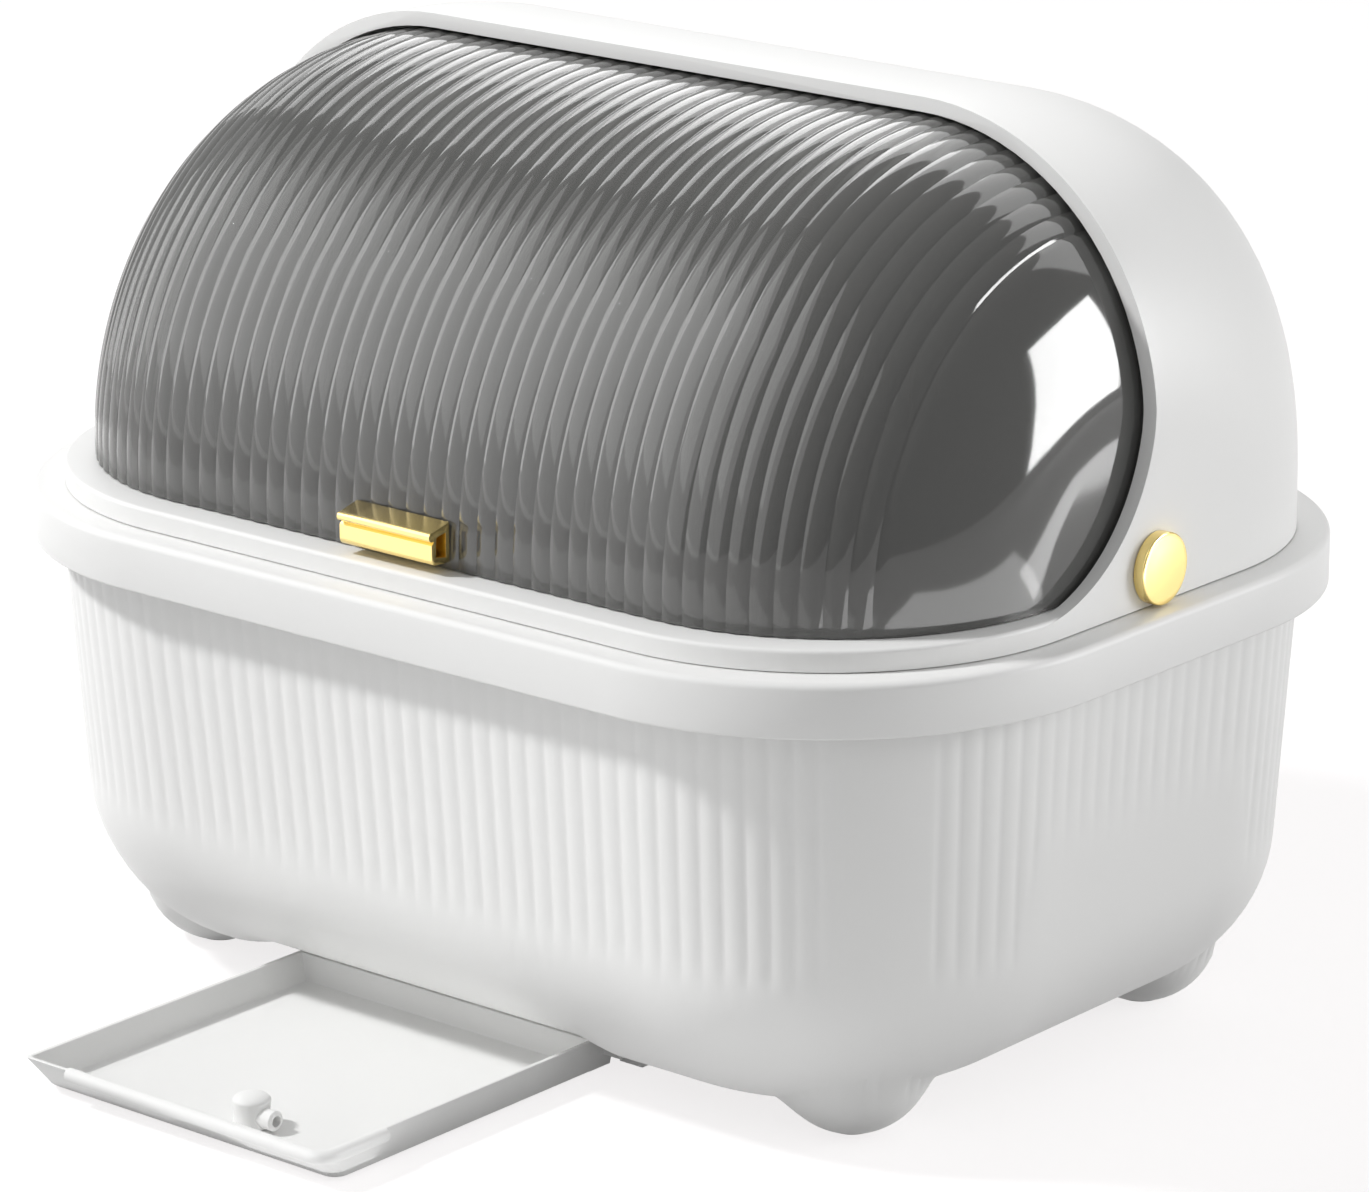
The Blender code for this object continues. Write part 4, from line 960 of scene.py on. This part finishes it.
faint = node(tree, "ShaderNodeBsdfDiffuse", Color=linear("#909090"))
glow = node(tree, "ShaderNodeEmission", Color=linear("#fffdfd"), Strength=0.8)
white = node(tree, "ShaderNodeAddShader", {0: faint.outputs[0], 1: glow.outputs[0]})
both = node(tree, "ShaderNodeMixShader", {"Fac": seen, 1: paper.outputs[0], 2: white.outputs[0]})
tree.links.new(both.outputs[0], out.inputs["Surface"])
sweep_mesh.materials.append(sweep_paper)

world = bpy.data.worlds.new("studio")
bpy.context.scene.world = world
world.use_nodes = True
tree = world.node_tree
background = tree.nodes["Background"]
straight = node(tree, "ShaderNodeLightPath").outputs["Is Camera Ray"]
white = node(tree, "ShaderNodeBackground", Color=linear("#fffdfd"), Strength=1.0)
both = node(tree, "ShaderNodeMixShader", {"Fac": straight, 1: background.outputs[0], 2: white.outputs[0]})
background.inputs["Color"].default_value = linear("#ffffff")
background.inputs["Strength"].default_value = 0.45
tree.links.new(both.outputs[0], tree.nodes["World Output"].inputs["Surface"])

aim = middle + Vector((0, 0, 170 * mm))


def outward(azimuth, elevation):
    """A direction away from the drainer; azimuth 0 is in front and 90 at the right, in degrees."""
    a, e = math.radians(azimuth), math.radians(elevation)
    return Vector((math.sin(a) * math.cos(e), -math.cos(a) * math.cos(e), math.sin(e)))


def soft_box(name, azimuth, elevation, away, width, height, radiance, diffuse=True, glossy=True, flat=None):
    """A rectangular lamp that faces the drainer, or shines straight up where flat gives its heading."""
    back = outward(azimuth, elevation)
    lamp = bpy.data.lights.new(name, "AREA")
    lamp.shape, lamp.size, lamp.size_y = "RECTANGLE", width, height
    lamp.energy = radiance * math.pi * width * height
    box = bpy.data.objects.new(name, lamp)
    box.location = aim + back * away
    box.rotation_euler = (-back).to_track_quat("-Z", "Y").to_euler()
    if flat is not None:
        box.rotation_euler = (math.pi, 0, math.radians(flat))
    box.visible_camera = False
    box.visible_diffuse, box.visible_glossy = diffuse, glossy
    bpy.context.scene.collection.objects.link(box)
    return box


# The key draws the shadows from the left, and the window lights the right side
key = soft_box("key", -48, 45, 3.0, 0.30, 0.30, 228, glossy=False)
window = soft_box("right_window", 130, 12, 2.8, 1.1, 1.3, 6.0, glossy=False)
for lamp in (key, window):
    lamp.visible_transmission = False
# The crescent on the lid's right end, then the broad sheens on its back, top, front and left end
soft_box("window_reflection", 124, 13, 2.3, 0.9, 1.1, 15, diffuse=False)
soft_box("rear_reflection", -174, 44, 2.5, 3.8, 1.4, 2.1, diffuse=False)
soft_box("rear_left_reflection", -127, 36, 2.3, 1.4, 0.9, 1.9, diffuse=False)
soft_box("front_left_reflection", -36, 30, 2.6, 4.4, 4.0, 1.1, diffuse=False)
soft_box("front_left_middle", -38, 37, 2.4, 2.2, 2.2, 1.0, diffuse=False)
soft_box("left_reflection", -75, 20, 2.7, 0.9, 2.0, 2.0, diffuse=False)
# The pale floor as the lid's foot mirrors it, and its light on the front wall and the tray
soft_box("floor_right", 90, -11.8, 0.817, 0.45, 0.72, 2.6, diffuse=False, flat=0)
soft_box("floor_rear", 124, -11.2, 0.860, 0.19, 0.33, 4.4, diffuse=False, flat=0)
soft_box("floor_left", -38, -14.9, 0.65, 1.5, 0.9, 0.5, diffuse=False, flat=-38)
soft_box("front_bounce", 27, -29.9, 0.335, 0.26, 0.2, 0.5, glossy=False, flat=27)

# A long lens from far off, above the front right corner
camera_data = bpy.data.cameras.new("camera")
camera_data.sensor_width, camera_data.lens, camera_data.clip_end = 36, 160.25, 50
camera = bpy.data.objects.new("camera", camera_data)
bpy.context.scene.collection.objects.link(camera)
distance, eye_base, gaze = 1.94496, Vector((0, 0, 150 * mm)), Vector((7.25, -2.57, 127.1)) * mm
eye = middle + eye_base + distance * outward(40.47, 16.2)
turn = (middle + gaze - eye).to_track_quat("-Z", "Y") @ Quaternion((0, 0, 1), -math.radians(0.23))
camera.location = eye
camera.rotation_euler = turn.to_euler()
bpy.context.scene.camera = camera

bpy.context.scene.view_settings.view_transform = "Standard"
